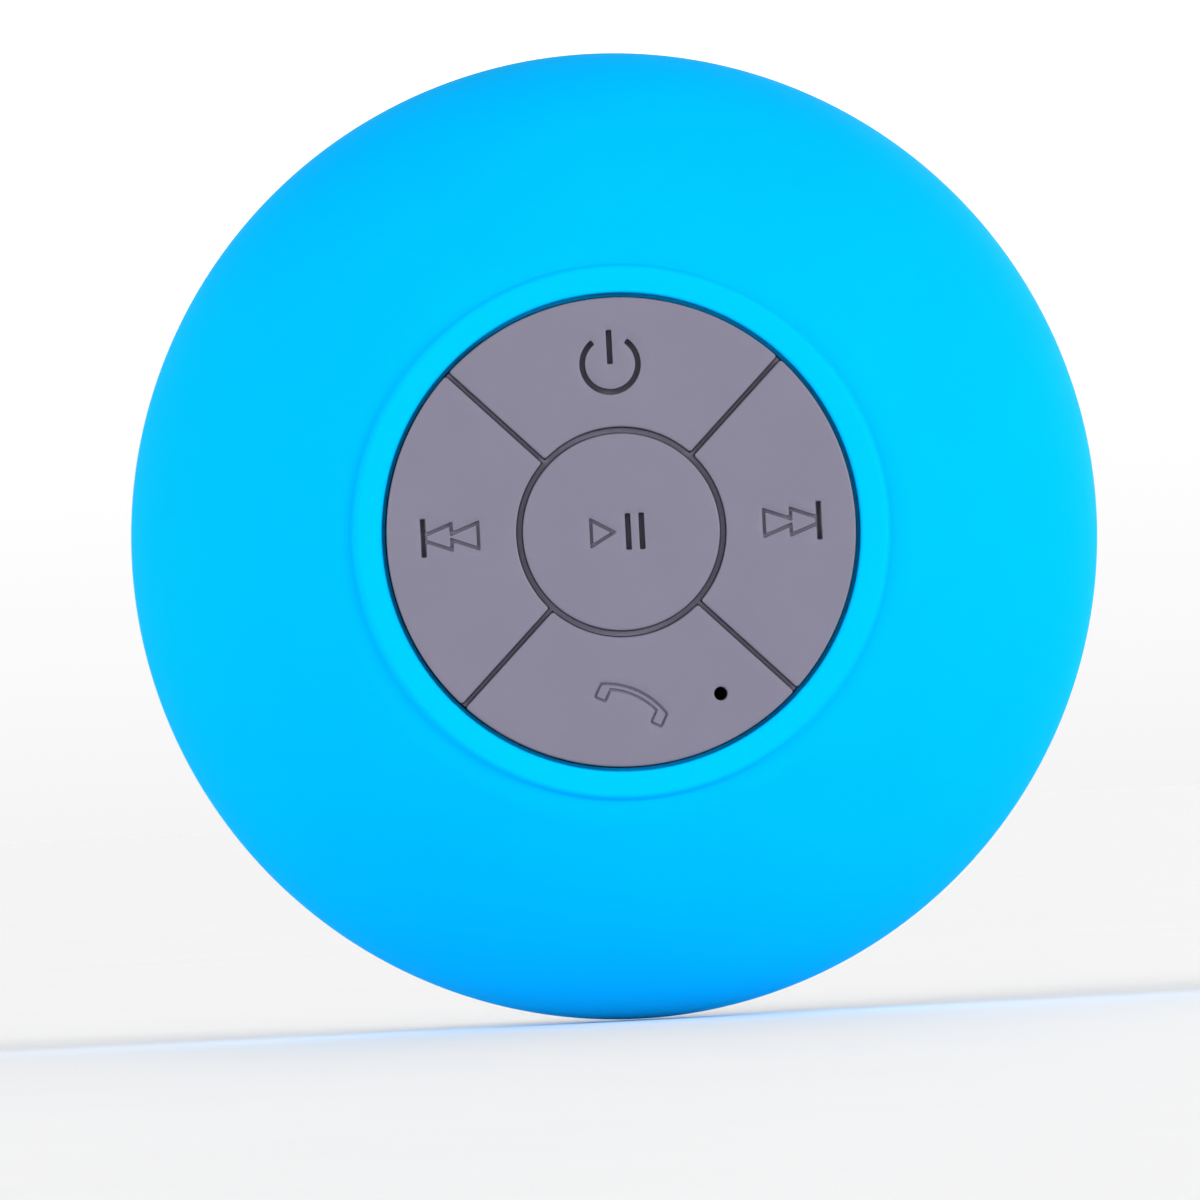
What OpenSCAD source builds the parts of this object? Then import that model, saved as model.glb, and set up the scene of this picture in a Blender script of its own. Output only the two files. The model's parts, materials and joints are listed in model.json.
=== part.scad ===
// Shower speaker: a silicone-skinned dome with a five-key pad, held to a wall by a suction cup.
// Millimetres. The wall is the plane Y = 0, the key pad faces -Y, and +Z is up. The origin is the
// centre of the suction cup's rim, on the wall. "Height" means distance from the wall.

/* [Body] */
// Widest diameter of the silicone sleeve
body_d = 86; // [85:0.5:88]
// Distance from the wall to the tops of the keys
body_depth = 55; // [54.8:0.1:56]
// Height of the widest line above the wall
waist_h = 33; // [32.5:0.1:33.5]
// Thickness of the silicone sleeve
sleeve_t = 1.8; // [1.6:0.1:1.9]
// Wall thickness of the hard housings
shell_t = 2; // [1.8:0.1:2.1]

/* [Key pad] */
// Diameter of the disc that the five keys make up
keypad_d = 41.2; // [40.8:0.1:41.4]
// Gap between the disc and the sleeve round it
keypad_gap = 0.6; // [0.45:0.05:0.7]
// Width of the grooves between keys
groove_w = 0.6; // [0.5:0.05:0.8]
// Diameter of the round groove, at its middle
play_groove_d = 17.9; // [17:0.1:19]
// Diameter of the raised ring round the key pad
bezel_d = 47.2; // [46.8:0.1:48]
// How far a key travels when pressed
key_travel = 0.5; // [0.3:0.05:0.6]
// Depth of the symbols in the keys
symbol_depth = 1; // [0.4:0.05:1.2]

/* [Rear housing] */
// Outer diameter of the neck with the sound slots
neck_d = 60; // [59.5:0.1:60.5]
// Number of sound slots
slot_count = 31; // [15:2:35]
// Width of a sound slot
slot_w = 2.6; // [1.6:0.1:3]
// Length of a sound slot along the neck
slot_len = 4.8; // [3.6:0.1:5]

/* [Suction cup] */
// Diameter of the cup's lip on the wall
cup_d = 62; // [58:0.5:66]
// Thickness of the lip at its edge
cup_edge_t = 0.6; // [0.4:0.1:1]

/* [Loudspeaker] */
// Diameter of the loudspeaker's basket
driver_d = 40; // [39.6:0.1:40.2]
// Radius of the pole inside the voice coil
pole_r = 6; // [5.8:0.05:6.1]

/* [Battery] */
// Length of the pouch cell
battery_l = 35; // [30:0.5:36]
// Width of the pouch cell
battery_w = 30; // [25:0.5:31]
// Thickness of the pouch cell
battery_t = 4; // [3:0.1:4.2]

/* [Charging port] */
// Width of the cover over the socket
cover_w = 12.6; // [12.2:0.1:12.8]
// Height of the cover over the socket
cover_h = 7.2; // [6.6:0.1:7.4]

/* [Hidden] */

$fn = 96;

// Colours
silicone_blue = [0.02, 0.70, 0.98];
key_grey = [0.55, 0.53, 0.60];
shell_grey = [0.48, 0.47, 0.53];
black_plastic = [0.12, 0.12, 0.13];
board_green = [0.05, 0.32, 0.20];
bright_steel = [0.75, 0.76, 0.78];
clear_rubber = [0.72, 0.80, 0.85, 0.75];

// Fits
skin_gap = 0.05;    // between faces that touch inside one body
run_gap = 0.1;      // radial clearance of a part that slides in another
cut = 1;            // how far a cutting shape runs past the faces it cuts
weld = 0.1;         // how far two joined shapes run into each other
thread_fit = 0.02;  // radial, round a screw that cuts its own thread
clear_fit = 0.15;   // radial, round a screw that passes through
tip_gap = 0.3;      // past the end of a screw

// Sleeve and front housing, as radii and heights
body_r = body_d / 2;
key_top = body_depth;
key_proud = 0.4;
bezel_top = key_top - key_proud;
bezel_step = 0.25;
bezel_r = bezel_d / 2;
bezel_edge = 0.3;
keypad_r = keypad_d / 2;
opening_r = keypad_r + keypad_gap;
lip_t = 0.8;
dome_h = (bezel_top - bezel_step - waist_h) / sqrt(1 - pow(bezel_r / body_r, 2));
under_h = 7.5;
tuck_r = body_r - 6.1;
dome_steps = 20;
under_steps = 8;
shell_r = body_r - sleeve_t - skin_gap;
shell_dome_h = dome_h - sleeve_t - skin_gap;
shell_under_h = under_h - sleeve_t - skin_gap;
shell_opening_r = opening_r + lip_t + skin_gap;
ledge_h = key_top - 4.8;
lip_bottom = ledge_h + 0.1;
ledge_r = shell_opening_r + 3.35;

// Key pad and board, from the key tops down
key_t = 3;
key_bottom = key_top - key_t;
mat_t = 0.6;
mat_top = key_bottom - 0.7;
mat_bottom = mat_top - mat_t;
mat_r = opening_r - 0.2;
mat_skirt_t = 0.8;
mat_hole_gap = 0.5;
rim_t = 1.2;
rim_r = ledge_r - 0.2;
key_pitch = 15;
pusher_r = 1.8;
pusher_bottom = ledge_h;
stem_r = 1.7;
stem_len = 1.6;
stem_floor_gap = 0.4;
switch_w = 6;
switch_body_t = 3.5;
switch_t = 4.3;
board_top = pusher_bottom - skin_gap - switch_t;
board_t = 1.6;
board_bottom = board_top - board_t;
board_r = 28;
post_r = 2;
post_place_r = 25.6;
post_angles = [90, 210, 330];
mic_place = [8, -14.6];
mic_r = 2;
mic_t = 2;
mic_felt_t = 0.3;
mic_boot_r = 3.2;
mic_hole_r = 0.6;
mic_bore_r = mic_hole_r + 0.2;

// Symbols, about the middle of their keys
stroke_w = 0.5;
arrow_half = 1.36;
arrow_tip = 0.45;
arrow_len = 2.4;
skip_tails = [-2.6, -0.25];
skip_bar_x = 2.38;
skip_bar_h = 3.4;
previous_lift = 0.3;
next_lift = 0.15;
play_tail = -2.8;
play_half = 1.4;
play_len = 2.45;
pause_bars = [0.6, 1.8];
pause_bar_h = 3.2;
power_place = [-0.25, -0.25];
power_r = 2.45;
power_opening = 36;
power_bar_h = 3;
handset_place = [0, -0.4];
handset_tilt = -27;
handset_r = 7;
handset_top = 1.7;
handset_t = 0.7;
handset_half = 3.3;
handset_pad_w = 1.2;
handset_pad_h = 1.4;

// Main board: sizes and corners of what stands on it
chip_a = [6.6, 6.6];
chip_b = [12.6, 12.6];
chip_t = 0.9;
amplifier_a = [-12.5, 7.5];
amplifier_b = [-7.5, 11.5];
amplifier_t = 1.5;
crystal_a = [14.6, 9.6];
crystal_b = [17.8, 12.1];
crystal_t = 0.8;
capacitor_places = [[-8, -9.5], [-13.8, -9.5]];
capacitor_r = 2.4;
capacitor_h = 3.6;
chip_part = [0.8, 1.6, 0.5];
chip_part_first = 6;
chip_part_pitch = 2.2;
chip_part_row = 15.4;
led_a = [12.8, -12.8];
led_b = [14.4, -12];
led_t = 0.7;

// Rear housing
base_bottom = 12;
base_top = 14.2;
neck_r = neck_d / 2;
neck_in_r = neck_r - shell_t;
neck_fillet = 3;
neck_top = 22.8;
rim_out_r = tuck_r - 0.1;
rim_in_r = rim_out_r - shell_t;
rim_bottom = waist_h - under_h + 0.1;
rim_top = 29.8;
seal_h = 28.45;
seal_r = 0.55;
slot_h = 17.6;
slot_arc = 306;
port_angle = 270;
boss_r = 2.6;
boss_place_r = 32.6;
boss_pad_r = 2.9;
counterbore_r = 2.35;
boss_angles = [45, 135, 225, 315];
boss_bottom = rim_top + 0.1;
boss_top = 47;
screw_seat = 26.4;
screw_shank_r = 1.25;
screw_head_r = 2.2;
screw_head_t = 1.6;
screw_len = 11;
screw_bore_top = screw_seat + screw_len + 1.5;
baffle_post_r = 2.2;
rib_w = 1;
rim_slope = 1.4;
strap_gap = 0.3;

// Loudspeaker, as heights
rib_bottom = 20.1;
baffle_bottom = 20.9;
baffle_top = 22.5;
baffle_r = neck_in_r - 0.1;
baffle_open_r = 18;
baffle_boss_r = 2.3;
baffle_boss_len = 4;
mesh_gap = 0.1;
mesh_t = 0.5;
mesh_opening_half = 11.4;
basket_r = driver_d / 2;
surround_bottom = baffle_top + 0.5;
surround_t = 0.4;
flange_bottom = surround_bottom + surround_t;
flange_top = flange_bottom + 1;
basket_floor = 29.6;
basket_top = 30.6;
plate_top = 32.2;
magnet_top = 36.2;
yoke_top = 37.9;
yoke_r = 12.5;
magnet_r = 14;
magnet_in_gap = 1.4;
coil_in_r = pole_r + 0.3;
coil_out_r = coil_in_r + 0.6;
coil_gap_r = coil_out_r + 0.3;
coil_bottom = 26.4;
coil_top = 34;
cone_r = 15.8;
cone_t = 0.5;
roll_r = 16.8;
spider_h = 28.4;
spider_t = 0.3;

// Battery
pad_half = 11;
pad_top = yoke_top + 1;
foil_edge = 1;
battery_top = pad_top + battery_t;

// Inner screws: head radius, head height, shank radius, shank length
m2_head_r = 1.9;
m2_head_t = 1.3;
m2_shank_r = 0.95;
m2_len = 5.2;
baffle_screw_r = 24.5;
baffle_screw_angles = [90, 200, 340];
driver_screw_r = 21.8;
driver_screw_angles = [45, 135, 225, 315];

// Connectors and leads
connector_t = 4.2;
connector_half = [3.2, 2.2];
connector_x = 22.2;
charge_connector_y = -20.8;
connector_bottom = board_bottom - connector_t;
lead_r = 0.45;
lead_gap = 2.4;
lead_sides = 8;
lead_end = 0.1;

// Lead routes, as distances from the axis and heights
battery_route = [[battery_l / 2 + lead_end, 41], [18.3, 41], [19.2, 39.4], [20.2, 37.9], [21.6, 37.7],
    [22.2, 39], [connector_x, connector_bottom - lead_end]];
speaker_route = [[20.9, flange_top + 0.9], [20.9, 26.2], [21.4, 29], [22.4, 33], [22.3, 37], [22.2, 39],
    [connector_x, connector_bottom - lead_end]];
charge_route = [[22.85, 16.9], [22.85, 18.5], [22.85, 21], [22.85, 24], [23.3, 28.5], [23.2, 33],
    [21.8, 36.8], [20.9, 38.9], [-charge_connector_y, connector_bottom - lead_end]];

// Charging port: the socket looks away from the centre, at the bottom of the neck
pocket_w = 12.8;
pocket_wall = 1.2;
pocket_floor = 15.8;
pocket_back = -22.1;
charge_board_t = 1;
charge_board_half = 6.2;
charge_board_front = -27.2;
charge_chip_a = [4.3, -26];
charge_chip_b = [5.9, -23.1];
charge_chip_t = 1.1;
socket_w = 7.5;
socket_t = 2.5;
socket_len = 5;
socket_bottom = pocket_floor + charge_board_t;
socket_mid = socket_bottom + socket_t / 2;
socket_mouth = -(neck_r - 1.6);
recess_floor = -(neck_r - 1.1);
recess_gap = 0.4;
port_w = 9.6;
port_t = 4.5;
plug_gap = 0.3;
plug_wall = 0.5;
strap_w = 3.2;
strap_in_r = neck_r - 0.4;
strap_out_r = neck_r + 0.3;
hinge_x = -7.9;
hinge_y = -sqrt(pow((strap_in_r + strap_out_r) / 2, 2) - pow(hinge_x, 2));
knuckle_r = 0.35;
anchor_end = -11.6;
anchor_pin_r = 0.9;
anchor_head_r = 1.3;
anchor_head_t = 0.8;
anchor_head_out = neck_in_r - 0.1;
plate_bulge = 0.5;
nail_ledge_x = [1.4, 0.2];
nail_ledge_half = 1.8;
nail_ledge_out = 1.1;
plug_len = 0.9;
anchor_angle = -acos((anchor_end + 1.3) / neck_r);

// Suction cup
cup_r = cup_d / 2;
lip_in_r = 23.6;
lip_in_t = 2.3;
bell_r = lip_in_r - 0.1;
bell_floor = 5;
hub_r = 8.6;
hub_top = base_bottom - skin_gap;
stud_r = 6.5;
stud_bottom = 8;
stud_disc_t = 1.6;
stud_shaft_r = 3.2;
stud_hole_gap = 0.3;
washer_r = 4.5;
washer_t = 0.8;
cup_screw_head_r = 2.6;
cup_screw_head_t = 1.8;
cup_screw_len = 6;

// Points along an ellipse's arc, from angle a0 to angle a1
function arc(cx, cy, rx, ry, a0, a1, steps) =
    [for (i = [0:steps]) let (a = a0 + (a1 - a0) * i / steps) [cx + rx * cos(a), cy + ry * sin(a)]];

// The points of a list in reverse order
function backwards(p) = [for (i = [len(p) - 1:-1:0]) p[i]];

// The dome, from radius r0 out to the widest line, for a surface of radius r and height h
function dome_arc(r, h, r0) = arc(0, waist_h, r, h, acos(r0 / r), 0, dome_steps);

// The turned-in edge under the widest line
function under_arc(r, h) = arc(tuck_r, waist_h, r - tuck_r, h, 0, -90, under_steps);

// Points on a smooth curve through the points of a route
function route_point(p, i) = p[min(max(i, 0), len(p) - 1)];
function smooth_point(a, b, c, d, t) =
    0.5 * (2 * b + (c - a) * t + (2 * a - 5 * b + 4 * c - d) * t * t + (3 * b - a - 3 * c + d) * t * t * t);
function smooth(p, steps) = concat(
    [for (i = [0:len(p) - 2]) for (s = [0:steps - 1])
        smooth_point(route_point(p, i - 1), p[i], p[i + 1], route_point(p, i + 2), s / steps)],
    [p[len(p) - 1]]);

// Places children so that their Z runs out from the wall and their Y runs up
module outward() {
    rotate([90, 0, 0]) children();
}

module disc(r, low, high) {
    translate([0, 0, low]) cylinder(r = r, h = high - low);
}

module ring(r_out, r_in, low, high) {
    difference() {
        disc(r_out, low, high);
        disc(r_in, low - cut, high + cut);
    }
}

module revolve(points) {
    rotate_extrude() polygon(points);
}

// A block from one corner to the other
module block(a, b) {
    translate(a) cube(b - a);
}

// Copies of children at a radius, at each angle
module around(angles, r) {
    for (a = angles) rotate([0, 0, a]) translate([r, 0, 0]) children();
}

// A pan-head screw with a cross recess: the head is below Z = 0, the shank above
module screw(head_r, head_t, shank_r, len) {
    difference() {
        revolve([[0, -head_t], [head_r * 0.6, -head_t], [head_r, -head_t * 0.4], [head_r, 0], [0, 0]]);
        for (turn = [0, 90])
            rotate([0, 0, turn]) translate([0, 0, -head_t]) cube([head_r * 1.1, 0.5, head_t], center = true);
    }
    revolve([[0, 0], [shank_r, 0], [shank_r, len - shank_r], [shank_r * 0.4, len], [0, len]]);
}

module m2_screw() {
    screw(m2_head_r, m2_head_t, m2_shank_r, m2_len);
}

// A wire whose route lies in the XY plane
module wire(route) {
    last = len(route) - 1;
    points = [for (i = [0:last]) for (k = [0:lead_sides - 1])
        let (
            step = route[min(i + 1, last)] - route[max(i - 1, 0)],
            along = step / norm(step),
            a = 360 * k / lead_sides
        )
        [
            route[i][0] - along[1] * lead_r * cos(a),
            route[i][1] + along[0] * lead_r * cos(a),
            lead_r * sin(a)
        ]];
    sides = [for (i = [0:last - 1]) for (k = [0:lead_sides - 1])
        let (k2 = (k + 1) % lead_sides, n = i * lead_sides)
        [n + k, n + k2, n + lead_sides + k2, n + lead_sides + k]];
    start = [for (k = [lead_sides - 1:-1:0]) k];
    end = [for (k = [0:lead_sides - 1]) last * lead_sides + k];
    polyhedron(points = points, faces = concat(sides, [start], [end]), convexity = 4);
}

// ---- Sleeve and housings ----

module silicone_sleeve() {
    inner_r = body_r - sleeve_t;
    profile = concat(
        [[opening_r, lip_bottom], [opening_r, bezel_top - bezel_edge],
         [opening_r + bezel_edge, bezel_top], [bezel_r - bezel_edge, bezel_top]],
        dome_arc(body_r, dome_h, bezel_r),
        under_arc(body_r, under_h),
        backwards(under_arc(inner_r, under_h - sleeve_t)),
        backwards(dome_arc(inner_r, dome_h - sleeve_t, opening_r + lip_t)),
        [[opening_r + lip_t, lip_bottom]]);
    color(silicone_blue) outward() revolve(profile);
}

module front_housing() {
    inner_r = shell_r - shell_t;
    inner_dome_h = shell_dome_h - shell_t;
    outer = concat(dome_arc(shell_r, shell_dome_h, shell_opening_r), under_arc(shell_r, shell_under_h));
    inner = concat(
        backwards(under_arc(inner_r, shell_under_h - shell_t)),
        backwards(dome_arc(inner_r, inner_dome_h, ledge_r)));
    solid = concat([[0, waist_h - shell_under_h], [0, ledge_h]], [[shell_opening_r, ledge_h]], outer);
    color(shell_grey) outward() difference() {
        union() {
            revolve(concat([[shell_opening_r, ledge_h]], outer, inner, [[ledge_r, ledge_h]]));
            intersection() {
                around(boss_angles, boss_place_r) disc(boss_r, boss_bottom, boss_top);
                revolve(solid);
            }
            around(post_angles, post_place_r) disc(post_r, board_top, ledge_h + weld);
        }
        around(boss_angles, boss_place_r)
            disc(screw_shank_r + thread_fit, boss_bottom - cut, screw_bore_top);
        around(post_angles, post_place_r)
            disc(m2_shank_r + thread_fit, board_top - cut, board_bottom + m2_len + tip_gap);
    }
}

module sound_slot() {
    half = (slot_len - slot_w) / 2;
    deep = shell_t + 2 * cut;
    rotate([0, 90, 0]) translate([0, 0, neck_in_r - cut]) {
        translate([-half, -slot_w / 2, 0]) cube([2 * half, slot_w, deep]);
        for (side = [-1, 1]) translate([side * half, 0, 0]) cylinder(d = slot_w, h = deep);
    }
}

// The neck's outer skin between two radii, for the strap and its groove
module neck_skin(r_in, r_out, a, b) {
    intersection() {
        ring(r_out, r_in, base_bottom, neck_top);
        block(a, b);
    }
}

module rear_housing() {
    strap_low = socket_mid - strap_w / 2 - strap_gap;
    strap_high = socket_mid + strap_w / 2 + strap_gap;
    groove_low = seal_h - seal_r - skin_gap;
    groove_high = seal_h + seal_r + skin_gap;
    groove_r = rim_out_r - 2 * seal_r;
    pocket_x = pocket_w / 2;
    recess_x = cover_w / 2 + recess_gap;
    recess_y = cover_h / 2 + recess_gap;
    profile = concat(
        [[0, base_top], [0, base_bottom], [neck_r - neck_fillet, base_bottom]],
        arc(neck_r - neck_fillet, base_bottom + neck_fillet, neck_fillet, neck_fillet, -75, 0, 5),
        [[neck_r, neck_top], [rim_out_r, rim_bottom], [rim_out_r, groove_low], [groove_r, groove_low],
         [groove_r, groove_high], [rim_out_r, groove_high], [rim_out_r, rim_top], [rim_in_r, rim_top],
         [rim_in_r, rim_bottom + rim_slope], [neck_in_r, neck_top + rim_slope], [neck_in_r, baffle_bottom],
         [neck_in_r - rib_w, baffle_bottom], [neck_in_r - rib_w, rib_bottom], [neck_in_r, rib_bottom],
         [neck_in_r, base_top]]);
    color(shell_grey) outward() difference() {
        union() {
            revolve(profile);
            around(boss_angles, boss_place_r) disc(boss_pad_r, rim_bottom - 0.4, rim_top);
            around(baffle_screw_angles, baffle_screw_r) disc(baffle_post_r, base_top - weld, baffle_bottom);
            intersection() {
                block([-pocket_x - pocket_wall, -neck_r, base_top - weld],
                      [pocket_x + pocket_wall, pocket_back + 1, baffle_top]);
                disc(neck_in_r + 0.5, base_bottom, neck_top);
            }
        }
        // hole for the suction cup's stud
        disc(stud_shaft_r + stud_hole_gap, base_bottom - cut, base_top + cut);
        // sound slots
        for (i = [0:slot_count - 1])
            rotate([0, 0, port_angle + 180 - slot_arc / 2 + slot_arc * i / (slot_count - 1)])
                translate([0, 0, slot_h]) sound_slot();
        // screws into the front housing
        around(boss_angles, boss_place_r) disc(counterbore_r, neck_top - 2, screw_seat);
        around(boss_angles, boss_place_r) disc(screw_shank_r + clear_fit, screw_seat - cut, rim_top + cut);
        around(baffle_screw_angles, baffle_screw_r)
            disc(m2_shank_r + thread_fit, baffle_top - m2_len - tip_gap, baffle_bottom + cut);
        // pocket for the charging board, the port through the wall and the recess for its cover
        intersection() {
            block([-pocket_x, -neck_r, pocket_floor], [pocket_x, pocket_back, baffle_top + cut]);
            disc(neck_in_r, pocket_floor, baffle_top + cut);
        }
        block([-port_w / 2, -neck_r - cut, socket_mid - port_t / 2],
              [port_w / 2, -neck_in_r + 2, socket_mid + port_t / 2]);
        block([-recess_x, -neck_r - cut, socket_mid - recess_y],
              [recess_x, recess_floor, socket_mid + recess_y]);
        // groove and hole for the cover's strap
        neck_skin(strap_in_r - 0.1, neck_r + cut, [anchor_end - 0.2, -neck_r - cut, strap_low],
                  [-recess_x + 1.2, 0, strap_high]);
        translate([0, 0, socket_mid]) rotate([0, 0, anchor_angle]) rotate([0, 90, 0])
            disc(anchor_pin_r + run_gap, neck_in_r - cut, neck_r + cut);
    }
}

module housing_seal() {
    color(black_plastic) outward() translate([0, 0, seal_h])
        rotate_extrude() translate([rim_out_r - 0.5, 0]) circle(r = seal_r - 0.02);
}

module housing_screws() {
    color(bright_steel) outward() around(boss_angles, boss_place_r)
        translate([0, 0, screw_seat]) screw(screw_head_r, screw_head_t, screw_shank_r, screw_len);
}

// ---- Key pad ----

// One of the four outer keys, lying on +X, as a flat outline
module outer_key_outline() {
    reach = keypad_r * 2;
    half = groove_w / 2;
    start = half * sqrt(2);
    difference() {
        intersection() {
            circle(r = keypad_r);
            polygon([[start, 0], [reach, reach - start], [reach, start - reach]]);
        }
        circle(r = play_groove_d / 2 + half);
    }
}

module bar(w, h) {
    square([w, h], center = true);
}

// Two arrowheads that run into each other and into a bar; the arrows point along +X
module skip_symbol() {
    for (x = skip_tails) translate([x, 0])
        polygon([[0, -arrow_half], [arrow_len, -arrow_tip], [arrow_len, arrow_tip], [0, arrow_half]]);
    translate([skip_bar_x, 0]) bar(stroke_w, skip_bar_h);
}

module play_pause_symbol() {
    translate([play_tail, 0]) polygon([[0, -play_half], [play_len, 0], [0, play_half]]);
    for (x = pause_bars) translate([x, 0]) bar(stroke_w, pause_bar_h);
}

// A ring open at the top, with a bar standing in the opening
module power_symbol() {
    reach = power_r + stroke_w;
    translate(power_place) {
        difference() {
            circle(r = power_r + stroke_w / 2);
            circle(r = power_r - stroke_w / 2);
            polygon([[0, 0], [-reach * tan(power_opening), reach], [reach * tan(power_opening), reach]]);
        }
        translate([0, power_bar_h / 2]) bar(stroke_w, power_bar_h);
    }
}

// A tilted handset: an arch with a pad at each end
module call_symbol() {
    pad_x = handset_half - handset_pad_w / 2;
    translate(handset_place) rotate(handset_tilt) {
        intersection() {
            translate([0, handset_top - handset_r]) difference() {
                circle(r = handset_r);
                circle(r = handset_r - handset_t);
            }
            translate([0, handset_top / 2]) bar(2 * handset_half, handset_top);
        }
        for (side = [-1, 1]) translate([side * pad_x, 0.15]) bar(handset_pad_w, handset_pad_h);
    }
}

module pusher() {
    disc(pusher_r, pusher_bottom, key_bottom + weld);
}

// An outer key turned to its place, with its symbol upright
module outer_key(turn) {
    place = [key_pitch * cos(turn), key_pitch * sin(turn)];
    color(key_grey) outward() difference() {
        union() {
            rotate([0, 0, turn]) translate([0, 0, key_bottom])
                linear_extrude(key_t) outer_key_outline();
            translate(place) pusher();
        }
        translate([place[0], place[1], key_top - symbol_depth])
            linear_extrude(symbol_depth + cut) children();
        translate([mic_place[0], mic_place[1], 0]) disc(mic_hole_r, key_bottom - cut, key_top + cut);
    }
}

module power_key() {
    outer_key(90) power_symbol();
}

module previous_key() {
    outer_key(180) translate([0, previous_lift]) rotate(180) skip_symbol();
}

module next_key() {
    outer_key(0) translate([0, next_lift]) skip_symbol();
}

module call_key() {
    outer_key(270) call_symbol();
}

module play_pause_key() {
    color(key_grey) outward() difference() {
        union() {
            disc((play_groove_d - groove_w) / 2, key_bottom, key_top);
            pusher();
        }
        translate([0, 0, key_top - symbol_depth])
            linear_extrude(symbol_depth + cut) play_pause_symbol();
    }
}

// Where each key's switch stands, as an angle; the middle one is at no radius
module at_switch(turn, r = key_pitch) {
    translate([r * cos(turn), r * sin(turn), 0]) children();
}

module switch_stem() {
    disc(stem_r, pusher_bottom - skin_gap - stem_len, pusher_bottom - skin_gap);
}

module outer_stem(turn) {
    color(black_plastic) outward() at_switch(turn) switch_stem();
}

module power_switch_stem() {
    outer_stem(90);
}

module previous_switch_stem() {
    outer_stem(180);
}

module next_switch_stem() {
    outer_stem(0);
}

module call_switch_stem() {
    outer_stem(270);
}

module play_pause_switch_stem() {
    color(black_plastic) outward() switch_stem();
}

module switch_body() {
    half = switch_w / 2;
    top = board_top + switch_body_t;
    difference() {
        block([-half, -half, board_top], [half, half, top]);
        disc(stem_r + run_gap, pusher_bottom - stem_len - key_travel - stem_floor_gap, top + cut);
    }
}

module switch_bodies() {
    color(black_plastic) outward() {
        for (turn = [0:90:270]) at_switch(turn) switch_body();
        switch_body();
    }
}

module keypad_mat() {
    color(key_grey) outward() difference() {
        union() {
            disc(mat_r, mat_bottom, mat_top);
            ring(mat_r, mat_r - mat_skirt_t, ledge_h - rim_t, mat_bottom + weld);
            ring(rim_r, mat_r - mat_skirt_t, ledge_h - rim_t, ledge_h - skin_gap);
        }
        for (turn = [0:90:270]) at_switch(turn)
            disc(pusher_r + mat_hole_gap, mat_bottom - cut, mat_top + cut);
        disc(pusher_r + mat_hole_gap, mat_bottom - cut, mat_top + cut);
        translate([mic_place[0], mic_place[1], 0]) disc(mic_bore_r, mat_bottom - cut, mat_top + cut);
        around(post_angles, post_place_r) disc(post_r + 2 * run_gap, ledge_h - rim_t - cut, ledge_h + cut);
    }
}

// ---- Main board ----

module main_board() {
    color(board_green) outward() difference() {
        disc(board_r, board_bottom, board_top - skin_gap);
        around(post_angles, post_place_r) disc(m2_shank_r + clear_fit, board_bottom - cut, board_top + cut);
    }
}

// A block that stands on the board, from one corner to the other
module on_board(a, b, t) {
    outward() block([a[0], a[1], board_top], [b[0], b[1], board_top + t]);
}

module bluetooth_chip() {
    color(black_plastic) on_board(chip_a, chip_b, chip_t);
}

module amplifier_chip() {
    color(black_plastic) on_board(amplifier_a, amplifier_b, amplifier_t);
}

module crystal() {
    color(bright_steel) on_board(crystal_a, crystal_b, crystal_t);
}

module capacitors() {
    color(bright_steel) outward() for (place = capacitor_places)
        translate([place[0], place[1], board_top]) cylinder(r = capacitor_r, h = capacitor_h);
}

module small_parts() {
    color("tan") for (side = [-1, 1]) for (i = [0:4])
        let (middle = [side * (chip_part_first + chip_part_pitch * i), chip_part_row])
            on_board([middle[0] - chip_part[0] / 2, middle[1] - chip_part[1] / 2],
                     [middle[0] + chip_part[0] / 2, middle[1] + chip_part[1] / 2], chip_part[2]);
}

module status_led() {
    color("white") on_board(led_a, led_b, led_t);
}

module at_microphone() {
    outward() translate([mic_place[0], mic_place[1], 0]) children();
}

module microphone() {
    color(bright_steel) at_microphone() disc(mic_r, board_top, board_top + mic_t);
}

// The black cloth on the microphone's face
module microphone_felt() {
    color(black_plastic) at_microphone() translate([0, 0, board_top + mic_t])
        cylinder(r = mic_r - 0.2, h = mic_felt_t);
}

module microphone_boot() {
    felt_top = board_top + mic_t + mic_felt_t;
    color(black_plastic) at_microphone() difference() {
        disc(mic_boot_r, board_top, mat_bottom - skin_gap);
        disc(mic_r + skin_gap, board_top - cut, felt_top + run_gap);
        disc(mic_bore_r, board_top, mat_bottom + cut);
    }
}

// Ten equal screws: three hold the board, three the baffle, four clamp the loudspeaker
module inner_screws() {
    color(bright_steel) outward() {
        around(post_angles, post_place_r) translate([0, 0, board_bottom]) m2_screw();
        around(baffle_screw_angles, baffle_screw_r)
            translate([0, 0, baffle_top]) mirror([0, 0, 1]) m2_screw();
        around(driver_screw_angles, driver_screw_r)
            translate([0, 0, flange_top]) mirror([0, 0, 1]) m2_screw();
    }
}

// ---- Battery and leads ----

module battery() {
    x = battery_l / 2;
    y = battery_w / 2;
    end = -x + foil_edge;
    color("silver") outward() {
        block([end, -y, pad_top], [x, y, battery_top]);
        block([-x, -y + foil_edge, pad_top + foil_edge], [end, y - foil_edge, battery_top - foil_edge]);
    }
}

module battery_pad() {
    color(black_plastic) outward() block([-pad_half, -pad_half, yoke_top], [pad_half, pad_half, pad_top]);
}

module connector(x, y, turn) {
    outward() translate([x, y, 0]) rotate([0, 0, turn]) difference() {
        block([-connector_half[0], -connector_half[1], connector_bottom],
              [connector_half[0], connector_half[1], board_bottom]);
        // slot for the plug's latch
        translate([0, 1.6, connector_bottom]) cube([5.2, 0.4, 2.4], center = true);
    }
}

module battery_connector() {
    color("white") connector(connector_x, 0, 90);
}

module speaker_connector() {
    color("white") connector(-connector_x, 0, 90);
}

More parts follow.
